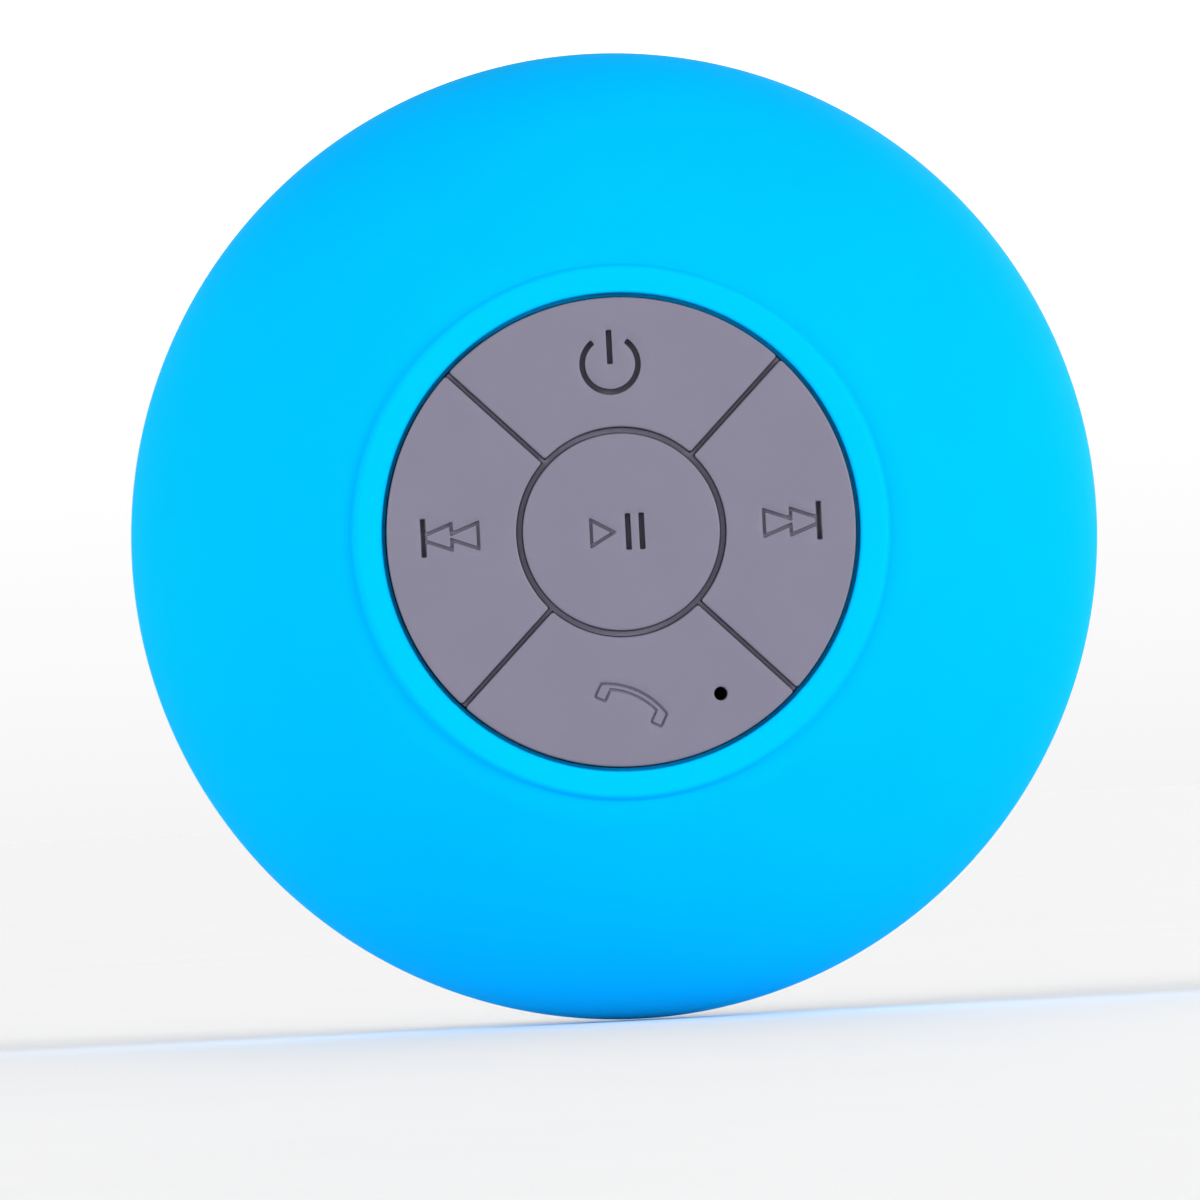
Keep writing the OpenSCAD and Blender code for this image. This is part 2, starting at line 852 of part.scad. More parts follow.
module charge_connector() {
    color("white") connector(0, charge_connector_y, 0);
}

// Two wires side by side. The route gives distance from the axis and height; turn sets its direction
module lead_pair(route, turn) {
    outward() rotate([0, 0, turn]) for (side = [-1, 1])
        translate([0, side * lead_gap / 2, 0]) rotate([90, 0, 0]) wire(smooth(route, 4));
}

module battery_leads() {
    color("crimson") lead_pair(battery_route, 0);
}

module speaker_leads() {
    color("gold") lead_pair(speaker_route, 180);
}

module charge_leads() {
    color("crimson") lead_pair(charge_route, 270);
}

// ---- Charging port ----

module charge_board() {
    color(board_green) outward()
        block([-charge_board_half, charge_board_front, pocket_floor],
              [charge_board_half, pocket_back - run_gap, socket_bottom]);
}

module usb_socket() {
    half = socket_w / 2;
    wall = 0.3;
    back = socket_mouth + socket_len;
    top = socket_bottom + socket_t;
    tongue_half = 1.9;
    tongue_t = 0.6;
    tongue_low = socket_mid - 0.05;
    tongue_setback = 0.4;
    color(bright_steel) outward() difference() {
        block([-half, socket_mouth, socket_bottom], [half, back, top]);
        difference() {
            block([-half + wall, socket_mouth - cut, socket_bottom + wall],
                  [half - wall, back - 2 * wall, top - wall]);
            block([-tongue_half, socket_mouth + tongue_setback, tongue_low],
                  [tongue_half, back, tongue_low + tongue_t]);
        }
    }
}

module charge_chip() {
    color(black_plastic) outward()
        block([charge_chip_a[0], charge_chip_a[1], socket_bottom],
              [charge_chip_b[0], charge_chip_b[1], socket_bottom + charge_chip_t]);
}

module port_cover() {
    x = cover_w / 2;
    y = cover_h / 2;
    px = port_w / 2 - plug_gap;
    py = port_t / 2 - plug_gap;
    strap = strap_w / 2;
    plate_back = recess_floor - run_gap;
    color(shell_grey) outward() {
        // plate over the port
        intersection() {
            block([-x, -neck_r - 2, socket_mid - y], [x, plate_back, socket_mid + y]);
            disc(neck_r + plate_bulge, base_bottom, neck_top);
        }
        // finger nail ledge
        block([x - nail_ledge_x[0], -neck_r - nail_ledge_out, socket_mid - nail_ledge_half],
              [x - nail_ledge_x[1], plate_back - 2 * weld, socket_mid + nail_ledge_half]);
        // frame that plugs into the port, round the socket's mouth
        difference() {
            block([-px, plate_back - weld, socket_mid - py], [px, plate_back + plug_len, socket_mid + py]);
            block([-px + plug_wall, plate_back - cut, socket_mid - py + plug_wall],
                  [px - plug_wall, plate_back + cut, socket_mid + py - plug_wall]);
        }
        // strap to the hinge line
        neck_skin(strap_in_r, strap_out_r, [hinge_x, -neck_r - cut, socket_mid - strap],
                  [-x + 0.5, 0, socket_mid + strap]);
        translate([hinge_x, hinge_y, 0]) disc(knuckle_r, socket_mid - strap, socket_mid + strap);
    }
}

// The fixed end of the strap, with its pin through the neck
module cover_anchor() {
    strap = strap_w / 2;
    color(shell_grey) outward() {
        neck_skin(strap_in_r, strap_out_r, [anchor_end, -neck_r - cut, socket_mid - strap],
                  [hinge_x - knuckle_r - 0.35, 0, socket_mid + strap]);
        translate([0, 0, socket_mid]) rotate([0, 0, anchor_angle]) rotate([0, 90, 0]) {
            disc(anchor_pin_r, anchor_head_out - anchor_head_t, neck_r);
            disc(anchor_head_r, anchor_head_out - anchor_head_t, anchor_head_out);
        }
    }
}

// ---- Loudspeaker ----

module driver_baffle() {
    notch = pocket_w / 2 + pocket_wall + run_gap;
    color(black_plastic) outward() difference() {
        union() {
            ring(baffle_r, baffle_open_r, baffle_bottom, baffle_top);
            around(driver_screw_angles, driver_screw_r)
                disc(baffle_boss_r, baffle_bottom - baffle_boss_len, baffle_bottom + weld);
        }
        block([-notch, -neck_r, baffle_bottom - cut],
              [notch, pocket_back + cut + run_gap, baffle_top + cut]);
        around(driver_screw_angles, driver_screw_r)
            disc(m2_shank_r + thread_fit, flange_top - m2_len - tip_gap, baffle_top + cut);
        around(baffle_screw_angles, baffle_screw_r)
            disc(m2_shank_r + clear_fit, baffle_bottom - cut, baffle_top + cut);
    }
}

module grille_mesh() {
    r = neck_in_r - mesh_gap;
    color(black_plastic) outward() difference() {
        ring(r, r - mesh_t, base_top + skin_gap, rib_bottom - skin_gap);
        block([-mesh_opening_half, -neck_r, base_bottom], [mesh_opening_half, -neck_r / 2, neck_top]);
    }
}

module speaker_gasket() {
    color(black_plastic) outward() ring(basket_r, baffle_open_r, baffle_top, surround_bottom);
}

module speaker_basket() {
    wall = 0.9;
    rim_w = 2.4;
    shoulder = 0.8;
    foot_r = 15.4;
    seat_r = coil_gap_r + 0.4;
    spider_wall = [12.2, 13.2];
    window_half = 3;
    window = [25.2, 28.6];
    spider_top = spider_h + spider_t;
    profile = [
        [basket_r - rim_w, flange_bottom], [basket_r, flange_bottom], [basket_r, flange_top],
        [basket_r - shoulder, flange_top], [foot_r, basket_top], [seat_r, basket_top],
        [seat_r, basket_floor], [spider_wall[0], basket_floor], [spider_wall[0], spider_top],
        [spider_wall[1], spider_top], [spider_wall[1], basket_floor], [foot_r - wall, basket_floor],
        [basket_r - shoulder - wall, flange_top]];
    color(bright_steel) outward() difference() {
        revolve(profile);
        for (turn = [30:60:330]) rotate([0, 0, turn])
            block([foot_r - cut, -window_half, window[0]], [basket_r, window_half, window[1]]);
    }
}

module speaker_terminals() {
    half = 2.6;
    color("peru") outward() block([-22, -half, flange_top], [-19.3, half, flange_top + 0.8]);
}

module speaker_top_plate() {
    color(bright_steel) outward() ring(yoke_r, coil_gap_r, basket_top, plate_top);
}

module speaker_magnet() {
    color(black_plastic) outward() ring(magnet_r, coil_gap_r + magnet_in_gap, plate_top, magnet_top);
}

module speaker_yoke() {
    color(bright_steel) outward() {
        disc(yoke_r, magnet_top, yoke_top);
        disc(pole_r, basket_top, magnet_top + weld);
    }
}

// Half roll between the cone's edge and the flat rim under the basket
module cone_surround() {
    roll = roll_r - cone_r - run_gap;
    color(black_plastic) outward() {
        ring(basket_r - 2 * run_gap, roll_r + roll - weld, surround_bottom, flange_bottom);
        revolve(concat(
            arc(roll_r, flange_bottom, roll, roll, -180, 0, 12),
            arc(roll_r, flange_bottom, roll - surround_t, roll - surround_t, 0, -180, 12)));
    }
}

// Corrugated disc that centres the voice coil
module cone_spider() {
    inner_r = coil_out_r + 0.15;
    outer_r = 13.1;
    pitch = 0.45;
    dip = 0.3;
    thick = spider_t - 0.02;
    low = [for (i = [0:12]) [inner_r + pitch * i, spider_h - (i % 2 == 1 && i < 11 ? dip : 0)]];
    high = [for (p = low) [p[0], p[1] + thick]];
    rim = [[outer_r, spider_h], [outer_r, spider_h + thick]];
    color("tan") outward() revolve(concat(low, rim, backwards(high)));
}

module speaker_cone() {
    neck_h = 27;
    in_r = coil_out_r + 0.02;
    edge_r = cone_r - 0.8;
    top = surround_bottom + cone_t;
    color(black_plastic) outward() revolve([
        [in_r, neck_h], [edge_r, surround_bottom], [cone_r, surround_bottom],
        [cone_r, top], [edge_r + 0.1, top], [in_r, neck_h + cone_t]]);
}

module dust_cap() {
    rim_h = 26.7;
    crown = 2.4;
    cap_r = coil_out_r + 0.5;
    cap_t = 0.4;
    color(black_plastic) outward() revolve(concat(
        arc(0, rim_h, cap_r, crown, 0, -90, 10),
        arc(0, rim_h, cap_r - cap_t, crown - cap_t, -90, 0, 10)));
}

module voice_coil() {
    color("orangered") outward() ring(coil_out_r, coil_in_r, coil_bottom, coil_top);
}

// ---- Suction cup ----

module cup_stud() {
    color("white") outward() difference() {
        union() {
            disc(stud_r, stud_bottom, stud_bottom + stud_disc_t);
            disc(stud_shaft_r, stud_bottom, base_top - run_gap);
        }
        disc(screw_shank_r + thread_fit, stud_bottom + 0.6, base_top + cut);
    }
}

module cup_washer() {
    color(bright_steel) outward()
        ring(washer_r, screw_shank_r + 0.2, base_top, base_top + washer_t);
}

module cup_screw() {
    color(bright_steel) outward() translate([0, 0, base_top + washer_t]) mirror([0, 0, 1])
        screw(cup_screw_head_r, cup_screw_head_t, screw_shank_r, cup_screw_len);
}

// The bell and hub: the soft part between the lip and the stud
module suction_cup() {
    hub_foot = 7.2;
    profile = concat(
        [[0, bell_floor], [6, bell_floor]],
        [for (i = [1:8]) let (t = i / 8) [6 + (bell_r - 6) * t, bell_floor - (bell_floor - 0.2) * t * t]],
        [for (i = [8:-1:1]) let (t = i / 8)
            [hub_r + (bell_r - hub_r) * t, lip_in_t + (hub_foot - lip_in_t) * (1 - t) * (1 - 0.35 * t)]],
        [[hub_r, hub_foot + 0.6], [hub_r, hub_top - 0.6], [hub_r - 0.6, hub_top], [0, hub_top]]);
    color(clear_rubber) outward() difference() {
        revolve(profile);
        disc(stud_r + skin_gap, stud_bottom - skin_gap, stud_bottom + stud_disc_t + skin_gap);
        disc(stud_shaft_r + skin_gap, stud_bottom, hub_top + cut);
    }
}

// The lip that the suction holds flat on the wall
module cup_lip() {
    mid_r = (lip_in_r + cup_r) / 2;
    color(clear_rubber) outward() revolve([
        [lip_in_r, 0], [cup_r - 0.3, 0], [cup_r, 0.3], [cup_r, cup_edge_t], [mid_r, cup_edge_t + 0.5],
        [lip_in_r, lip_in_t]]);
}

silicone_sleeve();
front_housing();
rear_housing();
housing_seal();
housing_screws();
keypad_mat();
power_key();
previous_key();
next_key();
call_key();
play_pause_key();
power_switch_stem();
previous_switch_stem();
next_switch_stem();
call_switch_stem();
play_pause_switch_stem();
switch_bodies();
main_board();
bluetooth_chip();
amplifier_chip();
crystal();
capacitors();
small_parts();
status_led();
microphone();
microphone_felt();
microphone_boot();
inner_screws();
battery();
battery_pad();
battery_connector();
battery_leads();
speaker_connector();
speaker_leads();
charge_connector();
charge_leads();
charge_board();
usb_socket();
charge_chip();
port_cover();
cover_anchor();
driver_baffle();
grille_mesh();
speaker_gasket();
speaker_basket();
speaker_terminals();
speaker_top_plate();
speaker_magnet();
speaker_yoke();
cone_surround();
cone_spider();
speaker_cone();
dust_cap();
voice_coil();
cup_stud();
cup_washer();
cup_screw();
suction_cup();
cup_lip();
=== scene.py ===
"""Looks for a shower speaker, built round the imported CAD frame.

Shapes are given in millimetres as (across, up, out), where out is the distance from the wall, and
become metres in the frame as they are made. Angles are in degrees.
"""

import json
from math import acos, asin, atan2, cos, degrees, hypot, pi, radians, sin, sqrt, tan

import bmesh
import bpy
from mathutils import Matrix, Vector
from mathutils.geometry import delaunay_2d_cdt


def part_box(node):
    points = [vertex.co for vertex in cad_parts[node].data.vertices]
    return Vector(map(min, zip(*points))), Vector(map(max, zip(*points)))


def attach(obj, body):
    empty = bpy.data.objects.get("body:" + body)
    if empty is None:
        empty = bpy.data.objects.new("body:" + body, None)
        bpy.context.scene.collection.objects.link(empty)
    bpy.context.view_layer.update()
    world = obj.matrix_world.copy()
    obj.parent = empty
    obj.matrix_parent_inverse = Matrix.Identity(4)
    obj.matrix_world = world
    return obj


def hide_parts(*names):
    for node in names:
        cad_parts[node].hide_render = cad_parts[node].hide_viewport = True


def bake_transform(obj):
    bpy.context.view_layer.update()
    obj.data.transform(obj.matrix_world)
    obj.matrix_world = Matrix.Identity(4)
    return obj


MM = 0.001
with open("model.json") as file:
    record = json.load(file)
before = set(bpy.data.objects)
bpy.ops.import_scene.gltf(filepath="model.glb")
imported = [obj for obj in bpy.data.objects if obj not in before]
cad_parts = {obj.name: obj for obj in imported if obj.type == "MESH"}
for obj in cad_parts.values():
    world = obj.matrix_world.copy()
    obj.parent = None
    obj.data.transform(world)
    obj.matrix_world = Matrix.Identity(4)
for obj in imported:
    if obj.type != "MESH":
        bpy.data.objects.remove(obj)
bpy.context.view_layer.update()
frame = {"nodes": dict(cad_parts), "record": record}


# ---- Sizes, from the frame where it holds them ----


def reach(node):
    """A node's furthest point to the right, and the distances from the wall where it starts and ends."""
    low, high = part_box(node)
    return high.x / MM, -high.y / MM, -low.y / MM


BODY_R, SLEEVE_BACK, BEZEL_TOP = reach("silicone_sleeve")
KEYPAD_R, _, KEY_TOP = reach("next_key")
PLAY_R, PUSHER_BOTTOM, _ = reach("play_pause_key")
CUP_R, _, LIP_T = reach("cup_lip")
BELL_R, _, HUB_TOP = reach("suction_cup")
STUD_R, STUD_BOTTOM, _ = reach("cup_stud")
MESH_R, MESH_LOW, MESH_HIGH = reach("grille_mesh")
MAT_TOP = reach("keypad_mat")[2]
PORT_OUT = sum(reach("usb_socket")[1:]) / 2

# Sleeve: a dome above its widest line and a turned-in edge under it. A bezel ring stands round the key pad,
# and the opening inside it narrows to a seal that nearly meets the keys
UNDER_H = 7.5
WAIST_H = SLEEVE_BACK + UNDER_H
SLEEVE_T = 1.8
TUCK_R = BODY_R - 6.1
OPENING_R = KEYPAD_R + 0.4
SEAL_R, SEAL_DROP = KEYPAD_R + 0.1, 1.6
LIP_T_SLEEVE = 0.8
LIP_BACK = 50.3
BEZEL_R = 23.6
BEZEL_STEP = 0.3
BEZEL_GROOVE_W, BEZEL_GROOVE_DROP = 1.7, 0.45
DOME_H = (BEZEL_TOP - BEZEL_STEP - WAIST_H) / sqrt(1 - (BEZEL_R / BODY_R) ** 2)

# Keys, and the ribs of the key mat in the grooves between them
KEY_T = 3
SPOKE_GROOVE_W, RING_GROOVE_W = 0.45, 0.58
RIB_GAP, RIB_DROP = 0.05, 0.88
KEY_PITCH = 15
CROWN = 0.2
EDGE_R = 0.2
KEY_CORNER = 0.25
PUSHER_R = 1.8
MIC_PLACE = (8, -14.6)
MIC_HOLE_R, MIC_LIP, MIC_STEPS = 0.6, 0.16, 24
FACE_PITCH, FACE_MARGIN = 0.9, 0.35

# Symbols sunk in the keys. The wide ones keep an island that leaves a narrow trench round its edge
SYMBOL_CORNER = 0.12
STROKE_DEPTH = 1.45
ARROW_TRENCH_DEPTH = 0.48
HANDSET_TRENCH_DEPTH = 0.3
SYMBOL_LIP = 0.05
ISLAND_DROP, ISLAND_CORNER, ISLAND_END = 0.12, 0.08, 0.06
PIT_INSET = 0.15
TRENCH_W = 0.28
STROKE_W = 0.5
ARROW_HALF, ARROW_TIP, ARROW_LEN = 1.36, 0.45, 2.4
SKIP_TAIL, SKIP_SECOND = -2.6, -0.25
SKIP_BAR_X, SKIP_BAR_H = 2.38, 3.4
PREVIOUS_LIFT, NEXT_LIFT = 0.3, 0.15
PLAY_TAIL, PLAY_HALF, PLAY_LEN = -2.8, 1.4, 2.45
PAUSE_BARS, PAUSE_BAR_H = (0.6, 1.8), 3.2
POWER_PLACE, POWER_R, POWER_OPENING, POWER_BAR_H = (-0.25, -0.25), 2.45, 36, 3
HANDSET_PLACE, HANDSET_TILT, HANDSET_TRENCH_W = (0, -0.4), -27, 0.2
HANDSET_R, HANDSET_TOP, HANDSET_T = 7, 1.7, 0.7
HANDSET_HALF, HANDSET_PAD_W, HANDSET_PAD_LOW = 3.3, 1.2, -0.55

# Port at the bottom of the neck. The cover's plate and its strap lie along X, from PLATE_X to STRAP_END
NECK_R = 30
PLATE_R = 30.5
PLATE_BACK = 29.0
PLATE_X, PLATE_V = 6.3, 3.6
STRAP_IN, STRAP_OUT, STRAP_V = 29.6, 30.3, 1.6
STRAP_END = -11.6
FLAP_PITCH = 0.6


# ---- Outlines ----


def arc(cx, cy, rx, ry, start, end, steps):
    """Points on an ellipse's arc between two angles, ends included."""
    turns = [radians(start + (end - start) * i / steps) for i in range(steps + 1)]
    return [(cx + rx * cos(t), cy + ry * sin(t)) for t in turns]


def circle(x, y, r, steps=48):
    """Points on a closed circle."""
    return arc(x, y, r, r, 0, 360 * (1 - 1 / steps), steps - 1)


def rounded(points, radius=0.0, steps=4, closed=True):
    """An outline with its corners rounded. A point may carry its own radius as a third value."""
    out = []
    last = len(points) - 1
    for i, point in enumerate(points):
        here = Vector(point[:2])
        r = point[2] if len(point) > 2 else radius
        if r <= 0 or (not closed and i in (0, last)):
            out.append(tuple(here))
            continue
        back, on = Vector(points[i - 1][:2]) - here, Vector(points[(i + 1) % (last + 1)][:2]) - here
        half = back.angle(on) / 2
        cut = min(r / tan(half), 0.48 * back.length, 0.48 * on.length)
        if half > radians(80) or cut < 0.005:
            out.append(tuple(here))
            continue
        r = cut * tan(half)
        centre = here + (back.normalized() + on.normalized()).normalized() * (r / sin(half))
        first, end = here + back.normalized() * cut - centre, here + on.normalized() * cut - centre
        start = atan2(first.y, first.x)
        sweep = (atan2(end.y, end.x) - start + pi) % (2 * pi) - pi
        turns = [start + sweep * k / steps for k in range(steps + 1)]
        out += [(centre.x + r * cos(t), centre.y + r * sin(t)) for t in turns]
    return out


def divided(points, longest):
    """A closed outline with no side longer than longest."""
    out = []
    for i, p in enumerate(points):
        a, b = Vector(p), Vector(points[(i + 1) % len(points)])
        pieces = max(1, round((b - a).length / longest + 0.49))
        out += [tuple(a.lerp(b, k / pieces)) for k in range(pieces)]
    return out


def grown(points, d):
    """A closed anticlockwise outline moved out by d, or in where d is negative."""
    out = []
    for i, p in enumerate(points):
        here = Vector(p)
        a = (here - Vector(points[i - 1])).normalized()
        b = (Vector(points[(i + 1) % len(points)]) - here).normalized()
        normal = Vector((a.y + b.y, -a.x - b.x)).normalized()
        stretch = min(2.0, 1 / max(0.1, normal.dot(Vector((a.y, -a.x)))))
        out.append(tuple(here + normal * d * stretch))
    return out


def inside(x, y, outline):
    """Whether a point lies inside an outline."""
    hit = False
    for i, (x1, y1) in enumerate(outline):
        x2, y2 = outline[i - 1]
        if (y1 > y) != (y2 > y) and x < (x2 - x1) * (y - y1) / (y2 - y1) + x1:
            hit = not hit
    return hit


def turned(points, angle, x=0, y=0):
    """Points turned round (0, 0), then moved."""
    c, s = cos(radians(angle)), sin(radians(angle))
    return [(x + px * c - py * s, y + px * s + py * c) for px, py in points]


# ---- Meshes ----


class Shell:
    """Collects the points and faces of one mesh."""

    def __init__(self):
        self.points = []
        self.faces = []

    def add(self, points):
        """Adds (across, up, out) points and returns their numbers."""
        first = len(self.points)
        self.points += [tuple(p) for p in points]
        return list(range(first, len(self.points)))

    def ring(self, outline, out):
        """Adds a flat outline at one distance from the wall, or at what the function out gives."""
        return self.add([(x, y, out(x, y) if callable(out) else out) for x, y in outline])

    def bridge(self, a, b, closed=True):
        """Joins two loops of as many points, or a loop and a single point."""
        n = max(len(a), len(b))
        for i in range(n if closed else n - 1):
            j = (i + 1) % n
            face = [a[i % len(a)], a[j % len(a)], b[j % len(b)], b[i % len(b)]]
            self.faces.append(list(dict.fromkeys(face)))

    def stack(self, rings):
        """Joins each ring to the next."""
        for a, b in zip(rings, rings[1:]):
            self.bridge(a, b)

    def fill(self, outer, holes=(), spots=(), plane=(0, 1)):
        """Covers the area inside a loop and outside its holes, through the given spots."""
        ids = list(outer) + [i for h in holes for i in h] + list(spots)
        flat = [Vector((self.points[i][plane[0]], self.points[i][plane[1]])) for i in ids]
        edges, first = [], len(outer)
        for hole in holes:
            edges += [(first + k, first + (k + 1) % len(hole)) for k in range(len(hole))]
            first += len(hole)
        outlines = [[(self.points[i][plane[0]], self.points[i][plane[1]]) for i in h] for h in holes]
        found = delaunay_2d_cdt(flat, edges, [list(range(len(outer)))], 1, 1e-6)
        if any(not origin for origin in found[3]):
            raise ValueError("two outlines cross")
        for face in found[2]:
            mid = sum((found[0][i] for i in face), Vector((0, 0))) / len(face)
            if not any(inside(mid.x, mid.y, o) for o in outlines):
                self.faces.append([ids[found[3][i][0]] for i in face])

    def scatter(self, outer, holes, pitch, margin, out):
        """Adds spots on a triangular grid inside an outline, clear of it and of its holes."""
        xs, ys = [p[0] for p in outer], [p[1] for p in outer]
        edge = [p for loop in [outer, *holes] for p in loop]
        row, spots, y = 0, [], min(ys)
        while y < max(ys):
            x = min(xs) + (pitch / 2 if row % 2 else 0)
            while x < max(xs):
                clear = all(abs(x - px) > margin or hypot(x - px, y - py) > margin for px, py in edge)
                if clear and inside(x, y, outer) and not any(inside(x, y, h) for h in holes):
                    spots.append((x, y))
                x += pitch
            y += pitch * sqrt(3) / 2
            row += 1
        return self.ring(spots, out)

    def tube(self, path, radius, sides=8, closed=False):
        """Adds a round wire along a path of points."""
        n = len(path)
        rings, across = [], None
        for i in range(n):
            back = path[i - 1] if closed or i else path[i]
            on = path[(i + 1) % n] if closed or i < n - 1 else path[i]
            along = (Vector(on) - Vector(back)).normalized()
            if across is None:
                across = along.orthogonal().normalized()
            across = (across - along * across.dot(along)).normalized()
            other = along.cross(across)
            spokes = [across * cos(t) + other * sin(t) for t in [2 * pi * k / sides for k in range(sides)]]
            rings.append(self.add([Vector(path[i]) + spoke * radius for spoke in spokes]))
        self.stack(rings + ([rings[0]] if closed else []))
        if not closed:
            self.faces += [rings[0][::-1], rings[-1]]


def lathe(profile, steps=192):
    """A shell turned round the axis from the (radius, out) points of a profile.

    The profile is closed, or it runs from axis to axis.
    """
    shell = Shell()
    rings = []
    for r, out in profile:
        if r < 1e-6:
            rings.append(shell.add([(0, 0, out)]))
        else:
            turns = [2 * pi * k / steps for k in range(steps)]
            rings.append(shell.add([(r * cos(t), r * sin(t), out) for t in turns]))
    on_axis = profile[0][0] < 1e-6 and profile[-1][0] < 1e-6
    shell.stack(rings if on_axis else rings + [rings[0]])
    return shell


def piece(name, shell, finish, body, replaces=(), sharp=40):
    """Makes a shell into an object that rides on a body, or a loose one where body is None."""
    mesh = bpy.data.meshes.new(name)
    mesh.from_pydata([(x * MM, -out * MM, up * MM) for x, up, out in shell.points], [], shell.faces)
    bm = bmesh.new()
    bm.from_mesh(mesh)
    bmesh.ops.remove_doubles(bm, verts=bm.verts, dist=1e-7)
    bmesh.ops.recalc_face_normals(bm, faces=bm.faces)
    bm.to_mesh(mesh)
    bm.free()
    mesh.polygons.foreach_set("use_smooth", [True] * len(mesh.polygons))
    mesh.set_sharp_from_angle(angle=radians(sharp))
    mesh.materials.append(finish)
    obj = bpy.data.objects.new(name, mesh)
    bpy.context.scene.collection.objects.link(obj)
    if body:
        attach(obj, body)
    if replaces:
        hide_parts(*replaces)
    return obj


# ---- Materials ----


class Finish:
    """Builds one procedural material. Lengths of grain are in millimetres."""

    def __init__(self, name, **values):
        self.material = bpy.data.materials.new(name)
        self.material.use_nodes = True
        self.nodes = self.material.node_tree.nodes
        self.links = self.material.node_tree.links
        self.shader = self.nodes["Principled BSDF"]
        self.place = self.nodes.new("ShaderNodeTexCoord").outputs["Object"]
        self.bump = None
        for key, value in values.items():
            self.shader.inputs[key.replace("_", " ").title().replace("Ior", "IOR")].default_value = value

    def node(self, kind, **values):
        """Adds a shader node and sets its properties."""
        made = self.nodes.new("ShaderNode" + kind)
        for key, value in values.items():
            setattr(made, key, value)
        return made

    def noise(self, size, detail=2.0, stretch=(1, 1, 1)):
        """A noise from 0 to 1 whose blotches are about size across."""
        made = self.node("TexNoise")
        made.inputs["Scale"].default_value = 1
        made.inputs["Detail"].default_value = detail
        scaled = self.node("VectorMath", operation="MULTIPLY")
        scaled.inputs[1].default_value = [s / (size * MM) for s in stretch]
        self.links.new(self.place, scaled.inputs[0])
        self.links.new(scaled.outputs[0], made.inputs["Vector"])
        return made.outputs[0]

    def spread(self, value, low, high, start=0.3, end=0.7):
        """A value from a noise, mapped from start..end to low..high."""
        made = self.node("MapRange")
        for i, number in enumerate((start, end, low, high)):
            made.inputs[i + 1].default_value = number
        self.links.new(value, made.inputs[0])
        return made.outputs[0]

    def mixed(self, value, a, b):
        """A colour between a and b."""
        made = self.node("Mix", data_type="RGBA")
        for socket, given in zip((6, 7), (a, b)):
            if isinstance(given, (tuple, list)):
                made.inputs[socket].default_value = (*given[:3], 1)
            else:
                self.links.new(given, made.inputs[socket])
        self.links.new(value, made.inputs[0])
        return made.outputs[2]

    def colour(self, base, vary=0.05, size=6.0):
        """Colours the surface with base, a little lighter and darker in soft blotches."""
        dark, light = [c * (1 - vary) for c in base], [min(1, c * (1 + vary)) for c in base]
        self.tint(self.mixed(self.spread(self.noise(size, 4), 0, 1), dark, light))

    def tint(self, colour):
        """Colours the surface with another node's colour."""
        self.links.new(colour, self.shader.inputs["Base Color"])

    def rough(self, low, high, size=2.0, stretch=(1, 1, 1)):
        """Roughness that wanders between two values."""
        self.links.new(self.spread(self.noise(size, 3, stretch), low, high), self.shader.inputs["Roughness"])

    def radius(self):
        """Distance from the speaker's axis, in metres."""
        flat = self.node("VectorMath", operation="MULTIPLY")
        flat.inputs[1].default_value = (1, 0, 1)
        self.links.new(self.place, flat.inputs[0])
        length = self.node("VectorMath", operation="LENGTH")
        self.links.new(flat.outputs[0], length.inputs[0])
        return length.outputs["Value"]

    def relief(self, height, depth):
        """Adds a bump of this depth to those already there."""
        made = self.node("Bump")
        made.inputs["Distance"].default_value = depth * MM
        self.links.new(height, made.inputs["Height"])
        if self.bump:
            self.links.new(self.bump, made.inputs["Normal"])
        self.bump = made.outputs[0]
        self.links.new(self.bump, self.shader.inputs["Normal"])

    def grain(self, size, depth, stretch=(1, 1, 1)):
        """A bumpy grain whose grains are about size across."""
        self.relief(self.noise(size, 2, stretch), depth)


def moulded(name, base, rough=(0.4, 0.5), grain=0.35, depth=0.01, vary=0.05, **values):
    """Moulded plastic or rubber with a fine even grain."""
    finish = Finish(name, **values)
    finish.colour(base, vary)
    finish.rough(*rough)
    finish.grain(grain, depth)
    return finish


def metal(name, base, rough=(0.25, 0.4), scratch=(1, 1, 8), vary=0.08, **values):
    """Bare or plated metal with fine scratches along one direction."""
    finish = Finish(name, metallic=1.0, **values)
    finish.colour(base, vary, 2)
    finish.rough(*rough, 0.6, scratch)
    finish.grain(0.25, 0.004, scratch)
    return finish


def sleeve_silicone():
    """Matte blue silicone, with a painted highlight: the ring round the key pad is coloured a shade lighter,
    standing in for the front light that its flat face takes.
    """
    # ring is a painted highlight: a lighter blue for the front light on the flat ring round the key pad
    body, ring = (0.0, 0.42, 0.9), (0.0, 0.455, 0.92)
    finish = Finish("sleeve_silicone", ior=1.07, specular_ior_level=0.2, specular_tint=(0.25, 0.75, 1, 1))
    shade = finish.spread(finish.noise(14, 4), 0, 1)
    plain = finish.mixed(shade, [c * 0.985 for c in body], [c * 1.015 for c in body])
    # painted highlight: the ring round the key pad takes the lighter blue, for light falling on its flat
    # face
    painted_highlight_on_ring = finish.spread(finish.radius(), 1, 0, (BEZEL_R - 0.25) * MM, BEZEL_R * MM)
    finish.tint(finish.mixed(painted_highlight_on_ring, plain, ring))
    finish.rough(0.55, 0.63, 3)
    finish.grain(0.3, 0.004)
    return finish


